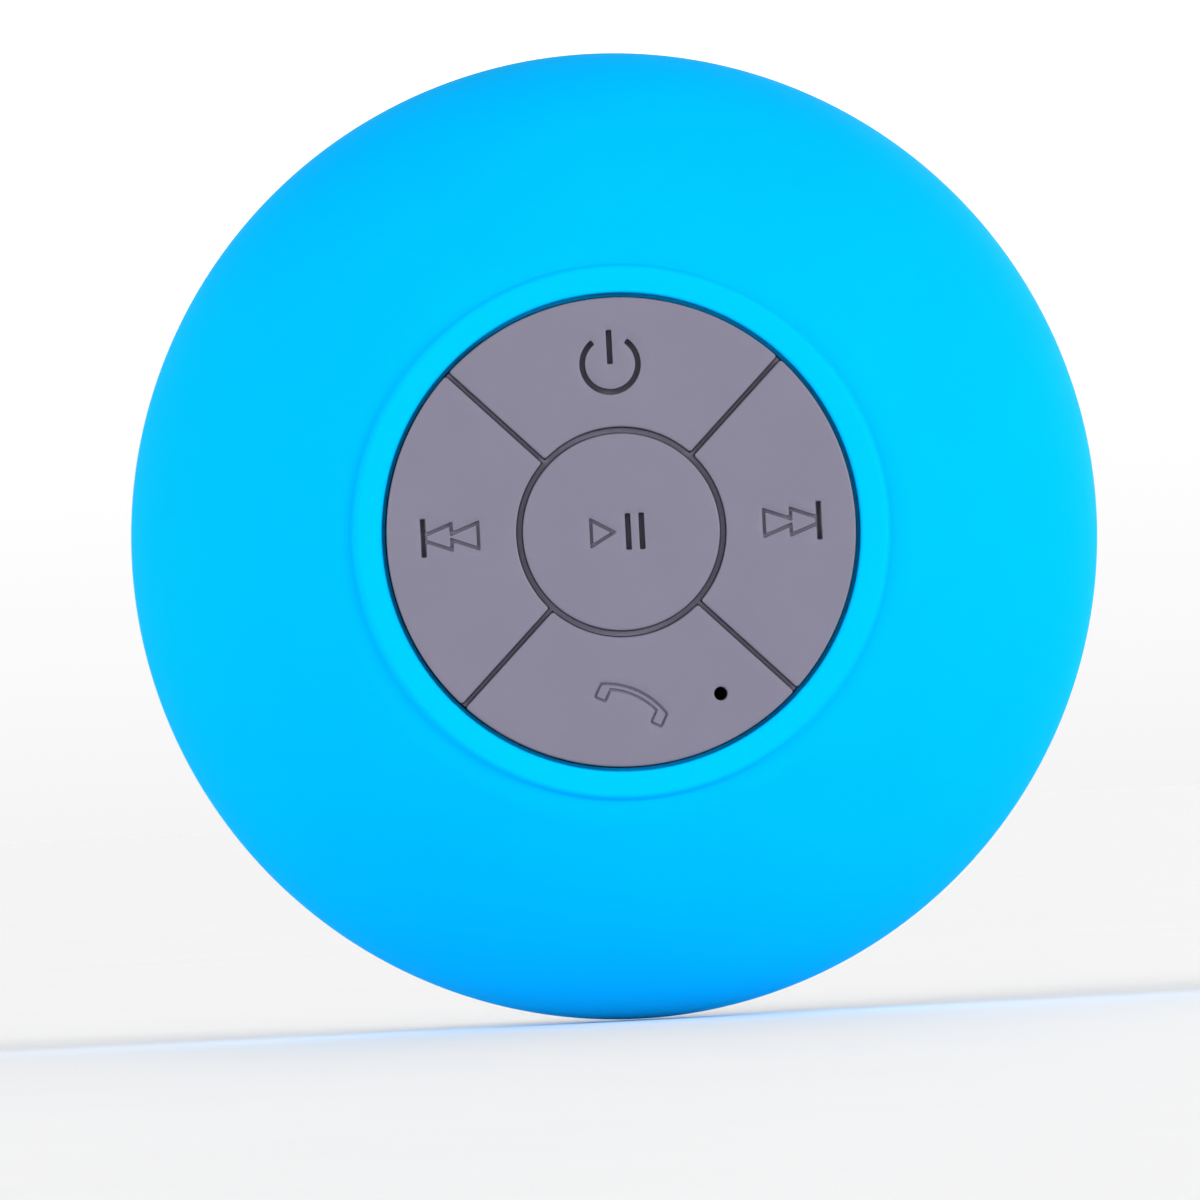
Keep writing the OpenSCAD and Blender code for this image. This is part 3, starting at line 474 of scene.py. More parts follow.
def circuit_board():
    """Green solder mask with copper tracks and small plated dots showing through it."""
    finish = Finish("circuit_board", coat_weight=0.4, coat_roughness=0.15)
    mask, track, tin = (0.006, 0.10, 0.045), (0.012, 0.19, 0.075), (0.62, 0.58, 0.46)
    bricks = finish.node("TexBrick", offset=0.5, squash=0.6)
    bricks.inputs["Scale"].default_value = 1 / (5 * MM)
    bricks.inputs["Mortar Size"].default_value = 0.03
    bricks.inputs["Color1"].default_value = bricks.inputs["Color2"].default_value = (0, 0, 0, 1)
    bricks.inputs["Mortar"].default_value = (1, 1, 1, 1)
    flat = finish.node("Mapping")
    flat.inputs["Rotation"].default_value = (pi / 2, 0, 0)
    finish.links.new(finish.place, flat.inputs["Vector"])
    finish.links.new(flat.outputs[0], bricks.inputs["Vector"])
    dots = finish.node("TexVoronoi", feature="F1")
    dots.inputs["Scale"].default_value = 1 / (2.6 * MM)
    dots.inputs["Randomness"].default_value = 0.7
    finish.links.new(flat.outputs[0], dots.inputs["Vector"])
    hole = finish.spread(dots.outputs["Distance"], 1, 0, 0.10, 0.12)
    tracks = finish.mixed(bricks.outputs["Color"], mask, track)
    finish.tint(finish.mixed(hole, tracks, tin))
    finish.rough(0.3, 0.42, 1.5)
    finish.relief(bricks.outputs["Color"], 0.02)
    return finish


def woven_cloth():
    """The loudspeaker's spider: resin-dipped woven cotton."""
    finish = Finish("spider_cloth", sheen_weight=0.3)
    threads = [finish.node("TexWave", bands_direction=way, wave_profile="SIN") for way in ("X", "Z")]
    for wave in threads:
        wave.inputs["Scale"].default_value = 1 / (1.4 * MM)
        finish.links.new(finish.place, wave.inputs["Vector"])
    both = finish.node("Math", operation="MULTIPLY")
    for socket, wave in zip(both.inputs, threads):
        finish.links.new(wave.outputs["Fac"], socket)
    # painted shade: the colour is darker in the hollows between the threads, where the bump is lowest
    finish.tint(finish.mixed(both.outputs[0], (0.22, 0.12, 0.04), (0.62, 0.42, 0.18)))
    finish.rough(0.6, 0.8)
    finish.relief(both.outputs[0], 0.03)
    return finish


def wound_copper():
    """Enamelled wire wound round the former, turn beside turn."""
    finish = Finish("copper_wire", metallic=0.85, coat_weight=0.5, coat_roughness=0.1)
    turns = finish.node("TexWave", bands_direction="Y", wave_profile="SIN")
    turns.inputs["Scale"].default_value = 1 / (1.2 * MM)
    finish.links.new(finish.place, turns.inputs["Vector"])
    # painted shade: the colour is darker in the valleys between turns, where the bump is lowest
    finish.tint(finish.mixed(turns.outputs["Fac"], (0.28, 0.07, 0.02), (0.85, 0.34, 0.14)))
    finish.rough(0.2, 0.35)
    finish.relief(turns.outputs["Fac"], 0.04)
    return finish


def battery_foil():
    """Aluminium pouch foil, with a faint crinkle and a pressed dimple grain."""
    finish = Finish("battery_foil", metallic=0.9)
    finish.colour((0.62, 0.64, 0.67), 0.08, 5)
    finish.rough(0.28, 0.45, 3)
    finish.grain(2.2, 0.05)
    finish.grain(0.3, 0.006)
    return finish


def cone_paper():
    """Pressed paper with fibres, black and slightly fuzzy."""
    finish = Finish("cone_paper", sheen_weight=0.25)
    finish.colour((0.018, 0.018, 0.02), 0.4, 0.8)
    finish.rough(0.65, 0.85)
    finish.grain(0.5, 0.03, (1, 4, 1))
    return finish


def foam():
    """Open-cell foam, its pores cut through at the surface."""
    finish = Finish("foam")
    pores = finish.node("TexVoronoi", feature="F1")
    pores.inputs["Scale"].default_value = 1 / (0.5 * MM)
    finish.links.new(finish.place, pores.inputs["Vector"])
    # painted shade: the colour is darker down in the pores, where the bump is lowest
    finish.tint(finish.mixed(pores.outputs["Distance"], (0.012, 0.012, 0.013), (0.06, 0.06, 0.065)))
    finish.rough(0.8, 0.95)
    finish.relief(pores.outputs["Distance"], 0.08)
    return finish


def cup_vinyl():
    """Clear soft vinyl, faintly milky, with the slight waviness of a moulded skin."""
    finish = Finish("cup_vinyl", transmission_weight=0.86, ior=1.47, specular_ior_level=0.5)
    finish.colour((0.80, 0.90, 0.95), 0.03, 8)
    finish.rough(0.05, 0.11, 5)
    finish.grain(3.5, 0.03)
    return finish


def make_finishes():
    """Every material, by the record's slot names."""
    made = {
        "sleeve_silicone": sleeve_silicone(),
        "keypad_silicone": moulded(
            "keypad_silicone", (0.17, 0.158, 0.214), (0.5, 0.6), 0.25, 0.006, 0.02, specular_ior_level=0.3),
        "housing_abs": moulded("housing_abs", (0.175, 0.165, 0.205), (0.42, 0.52), 0.22, 0.012, 0.04),
        "black_abs": moulded("black_abs", (0.02, 0.02, 0.023), (0.38, 0.5), 0.3, 0.012, 0.2),
        "switch_plastic": moulded("switch_plastic", (0.03, 0.03, 0.035), (0.35, 0.45), 0.2, 0.006, 0.2),
        "circuit_board": circuit_board(),
        "chip_epoxy": moulded("chip_epoxy", (0.022, 0.022, 0.024), (0.5, 0.65), 0.12, 0.006, 0.15),
        "can_metal": metal("can_metal", (0.72, 0.73, 0.75), (0.2, 0.35)),
        "ceramic_chip": moulded("ceramic_chip", (0.42, 0.29, 0.17), (0.35, 0.5), 0.15, 0.005, 0.15),
        "led_lens": moulded("led_lens", (0.85, 0.87, 0.9), (0.1, 0.2), 0.3, 0.002, 0.03,
                            transmission_weight=0.4),
        "black_rubber": moulded("black_rubber", (0.018, 0.018, 0.019), (0.6, 0.75), 0.3, 0.012, 0.2),
        "screw_steel": metal("screw_steel", (0.62, 0.63, 0.65), (0.22, 0.38)),
        "battery_foil": battery_foil(),
        "foam": foam(),
        "white_nylon": moulded("white_nylon", (0.78, 0.77, 0.73), (0.35, 0.45), 0.3, 0.005, 0.04,
                               subsurface_weight=0.15, subsurface_scale=0.001),
        "lead_red": moulded("lead_red", (0.55, 0.02, 0.02), (0.35, 0.45), 0.3, 0.005, 0.1),
        "lead_yellow": moulded("lead_yellow", (0.75, 0.48, 0.03), (0.35, 0.45), 0.3, 0.005, 0.1),
        "socket_steel": metal("socket_steel", (0.66, 0.67, 0.69), (0.16, 0.3)),
        "cover_rubber": moulded("cover_rubber", (0.165, 0.155, 0.195), (0.55, 0.68), 0.22, 0.008, 0.05),
        "mesh_black": metal("mesh_black", (0.035, 0.035, 0.038), (0.4, 0.55)),
        "basket_steel": metal("basket_steel", (0.45, 0.46, 0.48), (0.3, 0.45)),
        "terminal_board": moulded("terminal_board", (0.35, 0.2, 0.08), (0.5, 0.65), 0.2, 0.01, 0.15),
        "plate_steel": metal("plate_steel", (0.55, 0.56, 0.58), (0.25, 0.4)),
        "ferrite": moulded("ferrite", (0.03, 0.03, 0.032), (0.5, 0.7), 0.4, 0.02, 0.3),
        "spider_cloth": woven_cloth(),
        "cone_paper": cone_paper(),
        "copper_wire": wound_copper(),
        "cup_vinyl": cup_vinyl(),
    }
    return {slot: finish.material for slot, finish in made.items()}


FINISH = make_finishes()


# ---- Sleeve ----


def dome(r, h, start_r, steps):
    """A half ellipse's side from a radius out to the widest line."""
    return arc(0, WAIST_H, r, h, degrees(acos(start_r / r)), 0, steps)


def under(r, h, steps):
    """The turned-in edge below the widest line."""
    return arc(TUCK_R, WAIST_H, r - TUCK_R, h, 0, -90, steps)


def make_sleeve():
    inner_r, inner_h = BODY_R - SLEEVE_T, DOME_H - SLEEVE_T
    ring_side = 0.35
    outer = dome(BODY_R, DOME_H, BEZEL_R + BEZEL_GROOVE_W, 72)
    seal_top = BEZEL_TOP - SEAL_DROP
    groove = BEZEL_TOP - BEZEL_STEP - BEZEL_GROOVE_DROP
    opening = rounded(
        [(SEAL_R + 0.05, LIP_BACK), (SEAL_R, LIP_BACK + 0.3), (SEAL_R, seal_top, 0.08),
         (OPENING_R, seal_top, 0.06), (OPENING_R, BEZEL_TOP, 0.3),
         (BEZEL_R - ring_side, BEZEL_TOP - 0.03, 0.5), (BEZEL_R, groove, 0.25),
         (BEZEL_R + 0.3, groove, 0.5), (*outer[0], 0.8), outer[1]],
        steps=6, closed=False)
    inner = list(reversed(dome(inner_r, inner_h, OPENING_R + LIP_T_SLEEVE, 24)))
    edge_out = under(BODY_R, UNDER_H, 20)
    edge_in = list(reversed(under(inner_r, UNDER_H - SLEEVE_T, 10)))
    edge_mid = SLEEVE_BACK + SLEEVE_T / 2
    lip = arc(TUCK_R, edge_mid, 0.25, SLEEVE_T / 2, -90, -270, 8)
    profile = opening[:-1] + outer[1:-1] + edge_out[:-1] + lip + edge_in[1:] + inner[1:]
    profile.append((OPENING_R + LIP_T_SLEEVE, LIP_BACK))
    piece("sleeve", lathe(profile, 288), FINISH["sleeve_silicone"], "speaker",
          ["silicone_sleeve"])


# ---- Key pad ----


def key_outline(inset, corner=KEY_CORNER):
    """The outer key on +X, as an anticlockwise outline moved in by inset. Its corners stay round."""
    outer_r, inner_r = KEYPAD_R - corner, PLAY_R + RING_GROOVE_W + corner
    off = SPOKE_GROOVE_W / 2 + corner
    r = corner - inset
    far, near = sqrt(outer_r ** 2 - off ** 2), sqrt(inner_r ** 2 - off ** 2)
    # corner centres above the X axis, from distances along and off the 45 degree side
    far_c = ((far + off) / sqrt(2), (far - off) / sqrt(2))
    near_c = ((near + off) / sqrt(2), (near - off) / sqrt(2))
    far_a, near_a = degrees(atan2(far_c[1], far_c[0])), degrees(atan2(near_c[1], near_c[0]))
    upper = arc(0, 0, KEYPAD_R - inset, KEYPAD_R - inset, 0, far_a, 24)
    upper += arc(*far_c, r, r, far_a, 135, 6)[1:]
    side_a, side_b = Vector(upper[-1]), Vector(arc(*near_c, r, r, 135, 136, 1)[0])
    upper += [tuple(side_a.lerp(side_b, k / 18)) for k in range(1, 18)]
    upper += arc(*near_c, r, r, 135, 180 + near_a, 6)
    inner = inner_r - corner + inset
    upper += arc(0, 0, inner, inner, near_a, 0, 16)[1:]
    lower = [(x, -y) for x, y in reversed(upper[1:-1])]
    return upper + lower


def crowned(x, y):
    """Height of the key pad's slightly domed face."""
    return KEY_TOP - CROWN * (x * x + y * y) / KEYPAD_R ** 2


def rim_rings(shell, outline):
    """The rounded edge of a key, from its side wall up to its face."""
    rings = []
    for turn in (0, 22.5, 45, 67.5, 90):
        inset, drop = EDGE_R * (1 - cos(radians(turn))), EDGE_R * (1 - sin(radians(turn)))
        rings.append(shell.ring(outline(inset), lambda x, y, drop=drop: crowned(x, y) - drop))
    return rings


def sunk_rings(shell, outline, steps):
    """Rings that follow an outline, each moved out by a step's first value and sunk by its second."""
    rings = []
    for d, drop in steps:
        rings.append(shell.ring(grown(outline, d), lambda x, y, drop=drop: crowned(x, y) - drop))
    return rings


def sink_symbol(shell, symbol):
    """A symbol's soft lip, wall and floor, with the islands that stand on the floor and the pits in it.

    Returns the ring that lies on the key's face.
    """
    depth = symbol.depth
    walls = sunk_rings(shell, symbol.outline, [
        (SYMBOL_LIP, 0), (0.02, 0.02), (0, 0.07), (-0.015, depth / 2), (-0.03, depth - 0.04),
        (-0.06, depth)])
    shell.stack(walls)
    holes = []
    for island in symbol.islands:
        rings = sunk_rings(shell, island, [
            (0.02, depth), (0, depth - 0.05), (0, depth / 2), (0, ISLAND_DROP + 0.05),
            (-0.04, ISLAND_DROP)])
        shell.stack(rings)
        shell.fill(rings[-1])
        holes.append(rings[0])
    for pit in symbol.pits:
        rings = sunk_rings(shell, pit, [(0, depth), (-0.01, depth + 0.05), (-0.03, STROKE_DEPTH)])
        shell.stack(rings)
        shell.fill(rings[-1])
        holes.append(rings[0])
    shell.fill(walls[-1], holes)
    return walls[0]


def make_key(name, outline, place, symbols, mic=False):
    """A key with its symbols sunk in the face, and the pusher under it, which stands at place."""
    shell = Shell()
    rims = rim_rings(shell, outline)
    shell.stack(rims)
    holes, flat_holes = [], []
    for symbol in symbols:
        there = symbol.turned(0, *place)
        holes.append(sink_symbol(shell, there))
        flat_holes.append(grown(there.outline, SYMBOL_LIP))
    back = KEY_TOP - KEY_T
    mic_back = None
    if mic:
        rings = []
        for d, drop in ((MIC_LIP, 0), (0.06, 0.03), (0, 0.12)):
            edge = circle(*MIC_PLACE, MIC_HOLE_R + d, MIC_STEPS)
            rings.append(shell.ring(edge, lambda x, y, drop=drop: crowned(x, y) - drop))
        mic_back = shell.ring(circle(*MIC_PLACE, MIC_HOLE_R, MIC_STEPS), back)
        shell.stack(rings + [mic_back])
        holes.append(rings[0])
        flat_holes.append(circle(*MIC_PLACE, MIC_HOLE_R + MIC_LIP, MIC_STEPS))
    spots = shell.scatter(outline(EDGE_R), flat_holes, FACE_PITCH, FACE_MARGIN, crowned)
    shell.fill(rims[-1], holes, spots)
    # side wall, back face and the pusher that reaches the switch
    wall = [shell.ring(outline(d), back + h) for d, h in ((0, 0.2), (0.06, 0.06), (0.2, 0))]
    shell.stack([rims[0], *wall])
    pusher = [shell.ring(circle(*place, PUSHER_R + d, 32), h) for d, h in (
        (0.25, back), (0.08, back - 0.08), (0, back - 0.25),
        (0, PUSHER_BOTTOM + 0.2), (-0.06, PUSHER_BOTTOM + 0.06), (-0.2, PUSHER_BOTTOM))]
    shell.stack(pusher)
    shell.fill(pusher[-1])
    shell.fill(wall[-1], [pusher[0]] + ([mic_back] if mic else []))
    piece(name, shell, FINISH["keypad_silicone"], name, [name + "_key"])


def box_outline(x, y, w, h):
    """A rectangle round a middle point."""
    right, top = w / 2, h / 2
    return [(x - right, y - top), (x + right, y - top), (x + right, y + top), (x - right, y + top)]


def soft(outline, corner=SYMBOL_CORNER):
    """A symbol's outline with rounded corners and short sides."""
    return divided(rounded(outline, corner, 3), 0.5)


class Symbol:
    """A shape sunk in a key: its depth, its outline, and those of the islands and pits in its floor."""

    def __init__(self, depth, outline, islands=(), pits=()):
        self.depth = depth
        self.outline = outline
        self.islands = islands
        self.pits = pits

    def turned(self, angle, x=0, y=0):
        """The symbol turned round its key's middle, then moved."""
        islands = [turned(island, angle, x, y) for island in self.islands]
        pits = [turned(pit, angle, x, y) for pit in self.pits]
        return Symbol(self.depth, turned(self.outline, angle, x, y), islands, pits)


def arrows(tip_x):
    """Two arrowheads run into each other, pointing along +X, up to where they end at tip_x."""
    slope = (ARROW_HALF - ARROW_TIP) / ARROW_LEN
    neck = ARROW_HALF - slope * (SKIP_SECOND - SKIP_TAIL)
    tip = ARROW_HALF - slope * (tip_x - SKIP_SECOND)
    below = [(SKIP_TAIL, -ARROW_HALF), (SKIP_SECOND, -neck), (SKIP_SECOND, -ARROW_HALF), (tip_x, -tip)]
    return below, [(x, -y) for x, y in reversed(below)]


def skip_symbol():
    """The arrowheads run into a bar. They point along +X."""
    near, far = SKIP_BAR_X - STROKE_W / 2, SKIP_BAR_X + STROKE_W / 2
    half = SKIP_BAR_H / 2
    below, above = arrows(near)
    outline = below + [(near, -half), (far, -half), (far, half), (near, half)] + above
    # the island ends just short of the bar, which is deeper than the trench
    island_below, island_above = arrows(near + TRENCH_W - ISLAND_END)
    island = soft(grown(island_below + island_above, -TRENCH_W), ISLAND_CORNER)
    pit = soft(box_outline(SKIP_BAR_X, 0, STROKE_W - PIT_INSET, SKIP_BAR_H - PIT_INSET), ISLAND_CORNER)
    return [Symbol(ARROW_TRENCH_DEPTH, soft(outline), [island], [pit])]


def play_pause_symbol():
    """A triangle that points along +X, with two bars beside it."""
    triangle = [(PLAY_TAIL, -PLAY_HALF), (PLAY_TAIL + PLAY_LEN, 0), (PLAY_TAIL, PLAY_HALF)]
    island = soft(grown(triangle, -TRENCH_W), ISLAND_CORNER)
    bars = [Symbol(STROKE_DEPTH, soft(box_outline(x, 0, STROKE_W, PAUSE_BAR_H))) for x in PAUSE_BARS]
    return [Symbol(ARROW_TRENCH_DEPTH, soft(triangle), [island])] + bars


def power_symbol():
    """A ring open at the top, with a bar standing in the opening."""
    start, end, half = 90 + POWER_OPENING, 450 - POWER_OPENING, STROKE_W / 2
    outer = arc(0, 0, POWER_R + half, POWER_R + half, start, end, 40)
    inner = arc(0, 0, POWER_R - half, POWER_R - half, end, start, 40)
    for side in (outer, inner):
        side[0], side[-1] = (*side[0], SYMBOL_CORNER), (*side[-1], SYMBOL_CORNER)
    ring = divided(rounded(outer + inner, 0, 3), 0.5)
    bar = soft(box_outline(0, POWER_BAR_H / 2, STROKE_W, POWER_BAR_H))
    return [Symbol(STROKE_DEPTH, turned(shape, 0, *POWER_PLACE)) for shape in (ring, bar)]


def handset(inset, corner):
    """An arch whose ends turn down into an earpiece and a mouthpiece, with every edge moved in by inset."""
    low, half, foot = HANDSET_TOP - HANDSET_R, HANDSET_HALF - inset, HANDSET_PAD_LOW + inset
    inner_half = HANDSET_HALF - HANDSET_PAD_W + inset
    outer_r, inner_r = HANDSET_R - inset, HANDSET_R - HANDSET_T + inset
    outer_a, inner_a = degrees(acos(half / outer_r)), degrees(acos(inner_half / inner_r))
    outer = arc(0, low, outer_r, outer_r, outer_a, 180 - outer_a, 12)
    inner = arc(0, low, inner_r, inner_r, 180 - inner_a, inner_a, 8)
    left, right = [(-half, foot), (-inner_half, foot)], [(inner_half, foot), (half, foot)]
    for side in (outer, inner, left, right):
        side[0], side[-1] = (*side[0], corner), (*side[-1], corner)
    return divided(rounded(outer + left + inner + right, 0, 4), 0.5)


def call_symbol():
    """The tilted handset, with its island."""
    symbol = Symbol(HANDSET_TRENCH_DEPTH, handset(0, 0.25), [handset(HANDSET_TRENCH_W, 0.1)])
    return [symbol.turned(HANDSET_TILT, *HANDSET_PLACE)]


def make_keys():
    outer = [
        ("next", 0, [symbol.turned(0, 0, NEXT_LIFT) for symbol in skip_symbol()]),
        ("power", 90, power_symbol()),
        ("previous", 180, [symbol.turned(180, 0, PREVIOUS_LIFT) for symbol in skip_symbol()]),
        ("call", 270, call_symbol()),
    ]
    for name, turn, symbols in outer:
        place = (KEY_PITCH * cos(radians(turn)), KEY_PITCH * sin(radians(turn)))
        make_key(name, lambda d, turn=turn: turned(key_outline(d), turn), place, symbols, name == "call")
    make_key("play_pause", lambda d: circle(0, 0, PLAY_R - d, 120), (0, 0), play_pause_symbol())


def make_key_ribs():
    """The ribs of the key mat that stand in the grooves between the keys: a ring with four spokes."""
    gap, half = RIB_GAP, SPOKE_GROOVE_W / 2 - RIB_GAP
    ring_r, end_r = PLAY_R + RING_GROOVE_W - gap, KEYPAD_R - gap
    near, far = degrees(asin(half / ring_r)), degrees(asin(half / end_r))
    outline = []
    for spoke in (45, 135, 225, 315):
        outline += arc(0, 0, ring_r, ring_r, spoke - 90 + near, spoke - near, 24)
        outline += arc(0, 0, end_r, end_r, spoke - far, spoke + far, 2)
    outline, hole = divided(outline, 0.6), circle(0, 0, PLAY_R + gap, 96)
    shell = Shell()
    edge = [(-0.06, 0), (-0.02, 0.02), (0, 0.06)]
    tops = [shell.ring(grown(outline, d), lambda x, y, h=h: crowned(x, y) - RIB_DROP - h) for d, h in edge]
    holes = [shell.ring(grown(hole, -d), lambda x, y, h=h: crowned(x, y) - RIB_DROP - h) for d, h in edge]
    feet = [shell.ring(loop, MAT_TOP) for loop in (outline, hole)]
    shell.stack([*tops, feet[0]])
    shell.stack([*holes, feet[1]])
    shell.fill(tops[0], [holes[0]])
    shell.fill(feet[0], [feet[1]])
    piece("key_ribs", shell, FINISH["keypad_silicone"], "speaker")


# ---- Suction cup ----


def make_cup():
    """The bell, hub and lip in one moulding, with the pocket that holds the stud."""
    steps = 24
    # the hollow against the wall has a flat ceiling over the middle and slopes down to the lip
    ceiling, flat_r, slope_r, hollow_end = 5.0, 4, 6, 0.25
    hollow = [(0, ceiling), (flat_r, ceiling)]
    for i in range(steps + 1):
        t = i / steps
        hollow.append((slope_r + (BELL_R - slope_r) * t, ceiling - (ceiling - hollow_end) * t * t))
    # fine sealing ridges under the lip
    first_ridge, ridge_pitch, ridge_h = BELL_R + 1.2, 1.5, 0.12
    ridges = []
    for k in range(4):
        r = first_ridge + ridge_pitch * k
        ridges += [(r, ridge_h), (r + 0.25, 0), (r + 0.75, 0), (r + 1.0, ridge_h)]
    # thin edge of the lip, then its upper side, which thickens towards the bell
    edge_r, edge_t = CUP_R - 0.4, 0.62
    edge = [(CUP_R - 0.45, 0), (CUP_R - 0.12, 0.05), (CUP_R, 0.28), (CUP_R - 0.1, 0.52), (edge_r, edge_t)]
    lip_mid = (BELL_R + CUP_R) / 2
    lip = arc(edge_r, edge_t, edge_r - lip_mid, 0.5, 90, 180, 6)
    top = [(lip_mid + 1.8, 0.78), (lip_mid, 1.12), (lip_mid - 1.8, 1.62)]
    hub_r, hub_foot, sag = 8.6, 7.2, 0.35
    bell = []
    for i in range(steps, 0, -1):
        t = i / steps
        bell.append((hub_r + (BELL_R - hub_r) * t, LIP_T + (hub_foot - LIP_T) * (1 - t) * (1 - sag * t)))
    # pocket round the stud's flange, with a little clearance
    gap, flange_t = 0.05, 1.6
    shaft_r, pocket_r = 3.2 + gap, STUD_R + gap
    pocket_low, pocket_high = STUD_BOTTOM - gap, STUD_BOTTOM + flange_t + gap
    hub = rounded(
        [bell[-1], (hub_r, hub_foot + 0.15, 0.5), (hub_r, HUB_TOP, 0.7), (shaft_r, HUB_TOP, 0.2),
         (shaft_r, pocket_high), (pocket_r, pocket_high, 0.2), (pocket_r, pocket_low, 0.2),
         (0, pocket_low)],
        steps=6, closed=False)
    shell = lathe(hollow + ridges + edge + top + bell[:-1] + hub, 224)
    cup = piece("cup", shell, FINISH["cup_vinyl"], None, ["suction_cup", "cup_lip"], sharp=50)
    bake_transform(cup)


# ---- Port cover ----


def plate_share(x, before, length):
    """0 on the strap and 1 on the plate, along a step that starts this far before the plate's end."""
    return min(1.0, max(0.0, (x + PLATE_X + before) / length))


def flap_face(x):
    """Outer surface of the cover and its strap, as distance from the axis at the bottom of the neck."""
    share = plate_share(x, 0.6, 0.8)
    share = share * share * (3 - 2 * share)
    r = STRAP_OUT + (PLATE_R - STRAP_OUT) * share
    return sqrt(r * r - x * x)


def flap_back(x):
    """Inner surface of the cover and its strap, given in the same way."""
    strap = sqrt(STRAP_IN ** 2 - x * x)
    return strap + (PLATE_BACK - strap) * plate_share(x, 0.4, 0.4)


def make_flap():
    """The soft cover over the charging socket, with its strap."""
    outline = divided(rounded([
        (PLATE_X, -PLATE_V, 1.3), (PLATE_X, PLATE_V, 1.3),
        (-PLATE_X, PLATE_V, 1.3), (-PLATE_X, STRAP_V, 0.5),
        (STRAP_END, STRAP_V, 0.9), (STRAP_END, -STRAP_V, 0.9),
        (-PLATE_X, -STRAP_V, 0.5), (-PLATE_X, -PLATE_V, 1.3)], steps=8), 0.4)
    shell = Shell()

    def rings(points, surface, steps):
        """Rings that follow an outline, each moved out by a step's first value and raised by its second."""
        made = []
        for d, h in steps:
            made.append(shell.add([(x, -surface(x) - h, PORT_OUT + v) for x, v in grown(points, d)]))
        return made

    def cover(edge, hole, edge_points, hole_points, surface):
        """Fills the face between an edge and a hole, through spots that follow the surface."""
        spots = shell.scatter(edge_points, [hole_points], FLAP_PITCH, FLAP_PITCH / 2, 0)
        for i in spots:
            x, v, _ = shell.points[i]
            shell.points[i] = (x, -surface(x), PORT_OUT + v)
        shell.fill(edge, [hole], spots, plane=(0, 2))

    front_in, back_in = -0.25, -0.15
    front = rings(outline, flap_face, [(0, -0.28), (-0.06, -0.12), (-0.14, -0.04), (front_in, 0)])
    back = rings(outline, flap_back, [(back_in, 0), (-0.04, 0.05), (0, 0.14)])
    shell.stack(back + front)
    # finger nail ledge, raised near the end away from the hinge
    ledge_x, ledge_w, ledge_l, ledge_foot = PLATE_X - 1.05, 1.0, 3.6, 0.2
    ledge = divided(rounded(box_outline(ledge_x, 0, ledge_w, ledge_l), 0.45, 6), 0.4)
    ledge_rings = rings(ledge, flap_face, [
        (ledge_foot, 0), (0.1, 0.05), (0.04, 0.2), (0, 0.4), (-0.08, 0.52), (-0.2, 0.58)])
    shell.stack(ledge_rings)
    shell.fill(ledge_rings[-1], plane=(0, 2))
    cover(front[-1], ledge_rings[0], grown(outline, front_in), grown(ledge, ledge_foot), flap_face)
    # frame that plugs into the port, with a hollow inside its rim
    plug_l, plug_w, plug_foot = 9.0, 3.9, 0.15
    plug = divided(rounded(box_outline(0, 0, plug_l, plug_w), 0.8, 6), 0.5)
    plug_rings = rings(plug, lambda x: PLATE_BACK, [
        (plug_foot, 0), (0.03, -0.06), (0, -0.2), (0, -0.75), (-0.08, -0.9), (-0.22, -0.95),
        (-0.42, -0.9), (-0.5, -0.75), (-0.5, -0.2), (-0.55, -0.05), (-0.7, 0)])
    shell.stack(plug_rings)
    shell.fill(plug_rings[-1], plane=(0, 2))
    cover(back[0], plug_rings[0], grown(outline, back_in), grown(plug, plug_foot), flap_back)
    flap = piece("port_flap", shell, FINISH["cover_rubber"], None, ["port_cover"])
    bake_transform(flap)


def make_flap_pin():
    """The barb that holds the strap's fixed end in the neck."""
    pin_r, head_r = 0.9, 1.3
    neck_inner_r = NECK_R - 2
    head_top, pin_top = neck_inner_r - 0.1, STRAP_IN + 0.1
    profile = rounded([
        (0, neck_inner_r - 0.9), (head_r - 0.4, neck_inner_r - 0.9, 0.2),
        (head_r, neck_inner_r - 0.35, 0.2), (head_r, head_top, 0.1), (pin_r, head_top, 0.1),
        (pin_r, pin_top), (0, pin_top)], steps=4, closed=False)
    shell = lathe(profile, 48)
    angle = -acos((STRAP_END + head_r) / NECK_R)
    ca, sa = cos(angle), sin(angle)
    # the profile's axis turns from straight out of the wall to the neck's radius at the pin
    shell.points = [(out * ca - x * sa, out * sa + x * ca, PORT_OUT + up) for x, up, out in shell.points]
    piece("flap_pin", shell, FINISH["cover_rubber"], "speaker", ["cover_anchor"])


# ---- Sound mesh ----


def make_mesh():
    """Woven wire cloth behind the sound slots, open where the charging board stands."""
    wire_r, board_half = 0.11, 11.4
    mid_r = MESH_R - 0.25
    uprights, rows = 240, 10
    shell = Shell()
    half_gap = degrees(asin(board_half / mid_r))
    start, span = -90 + half_gap, 360 - 2 * half_gap

    def at(turn, out, lift):
        t, r = radians(start + turn), mid_r + lift
        return r * cos(t), r * sin(t), out

    pitch = (MESH_HIGH - MESH_LOW - 2 * wire_r) / rows
    for i in range(uprights + 1):
        side, turn = wire_r * (1 if i % 2 else -1), span * i / uprights
        path = []
        for k in range(rows * 2 + 1):
            path.append(at(turn, MESH_LOW + wire_r + pitch * k / 2, side * cos(pi * k / 2)))
        shell.tube(path, wire_r, 5)
    for k in range(rows):
        side, out = wire_r * (0.9 if k % 2 else -0.9), MESH_LOW + wire_r + pitch * (k + 0.5)
        path = []
        for i in range(uprights * 2 + 1):
            path.append(at(span * i / uprights / 2, out, side * cos(pi * i / 2)))
        shell.tube(path, wire_r, 5)
    piece("sound_mesh", shell, FINISH["mesh_black"], "speaker", ["grille_mesh"])


# ---- CAD nodes that keep their shape ----


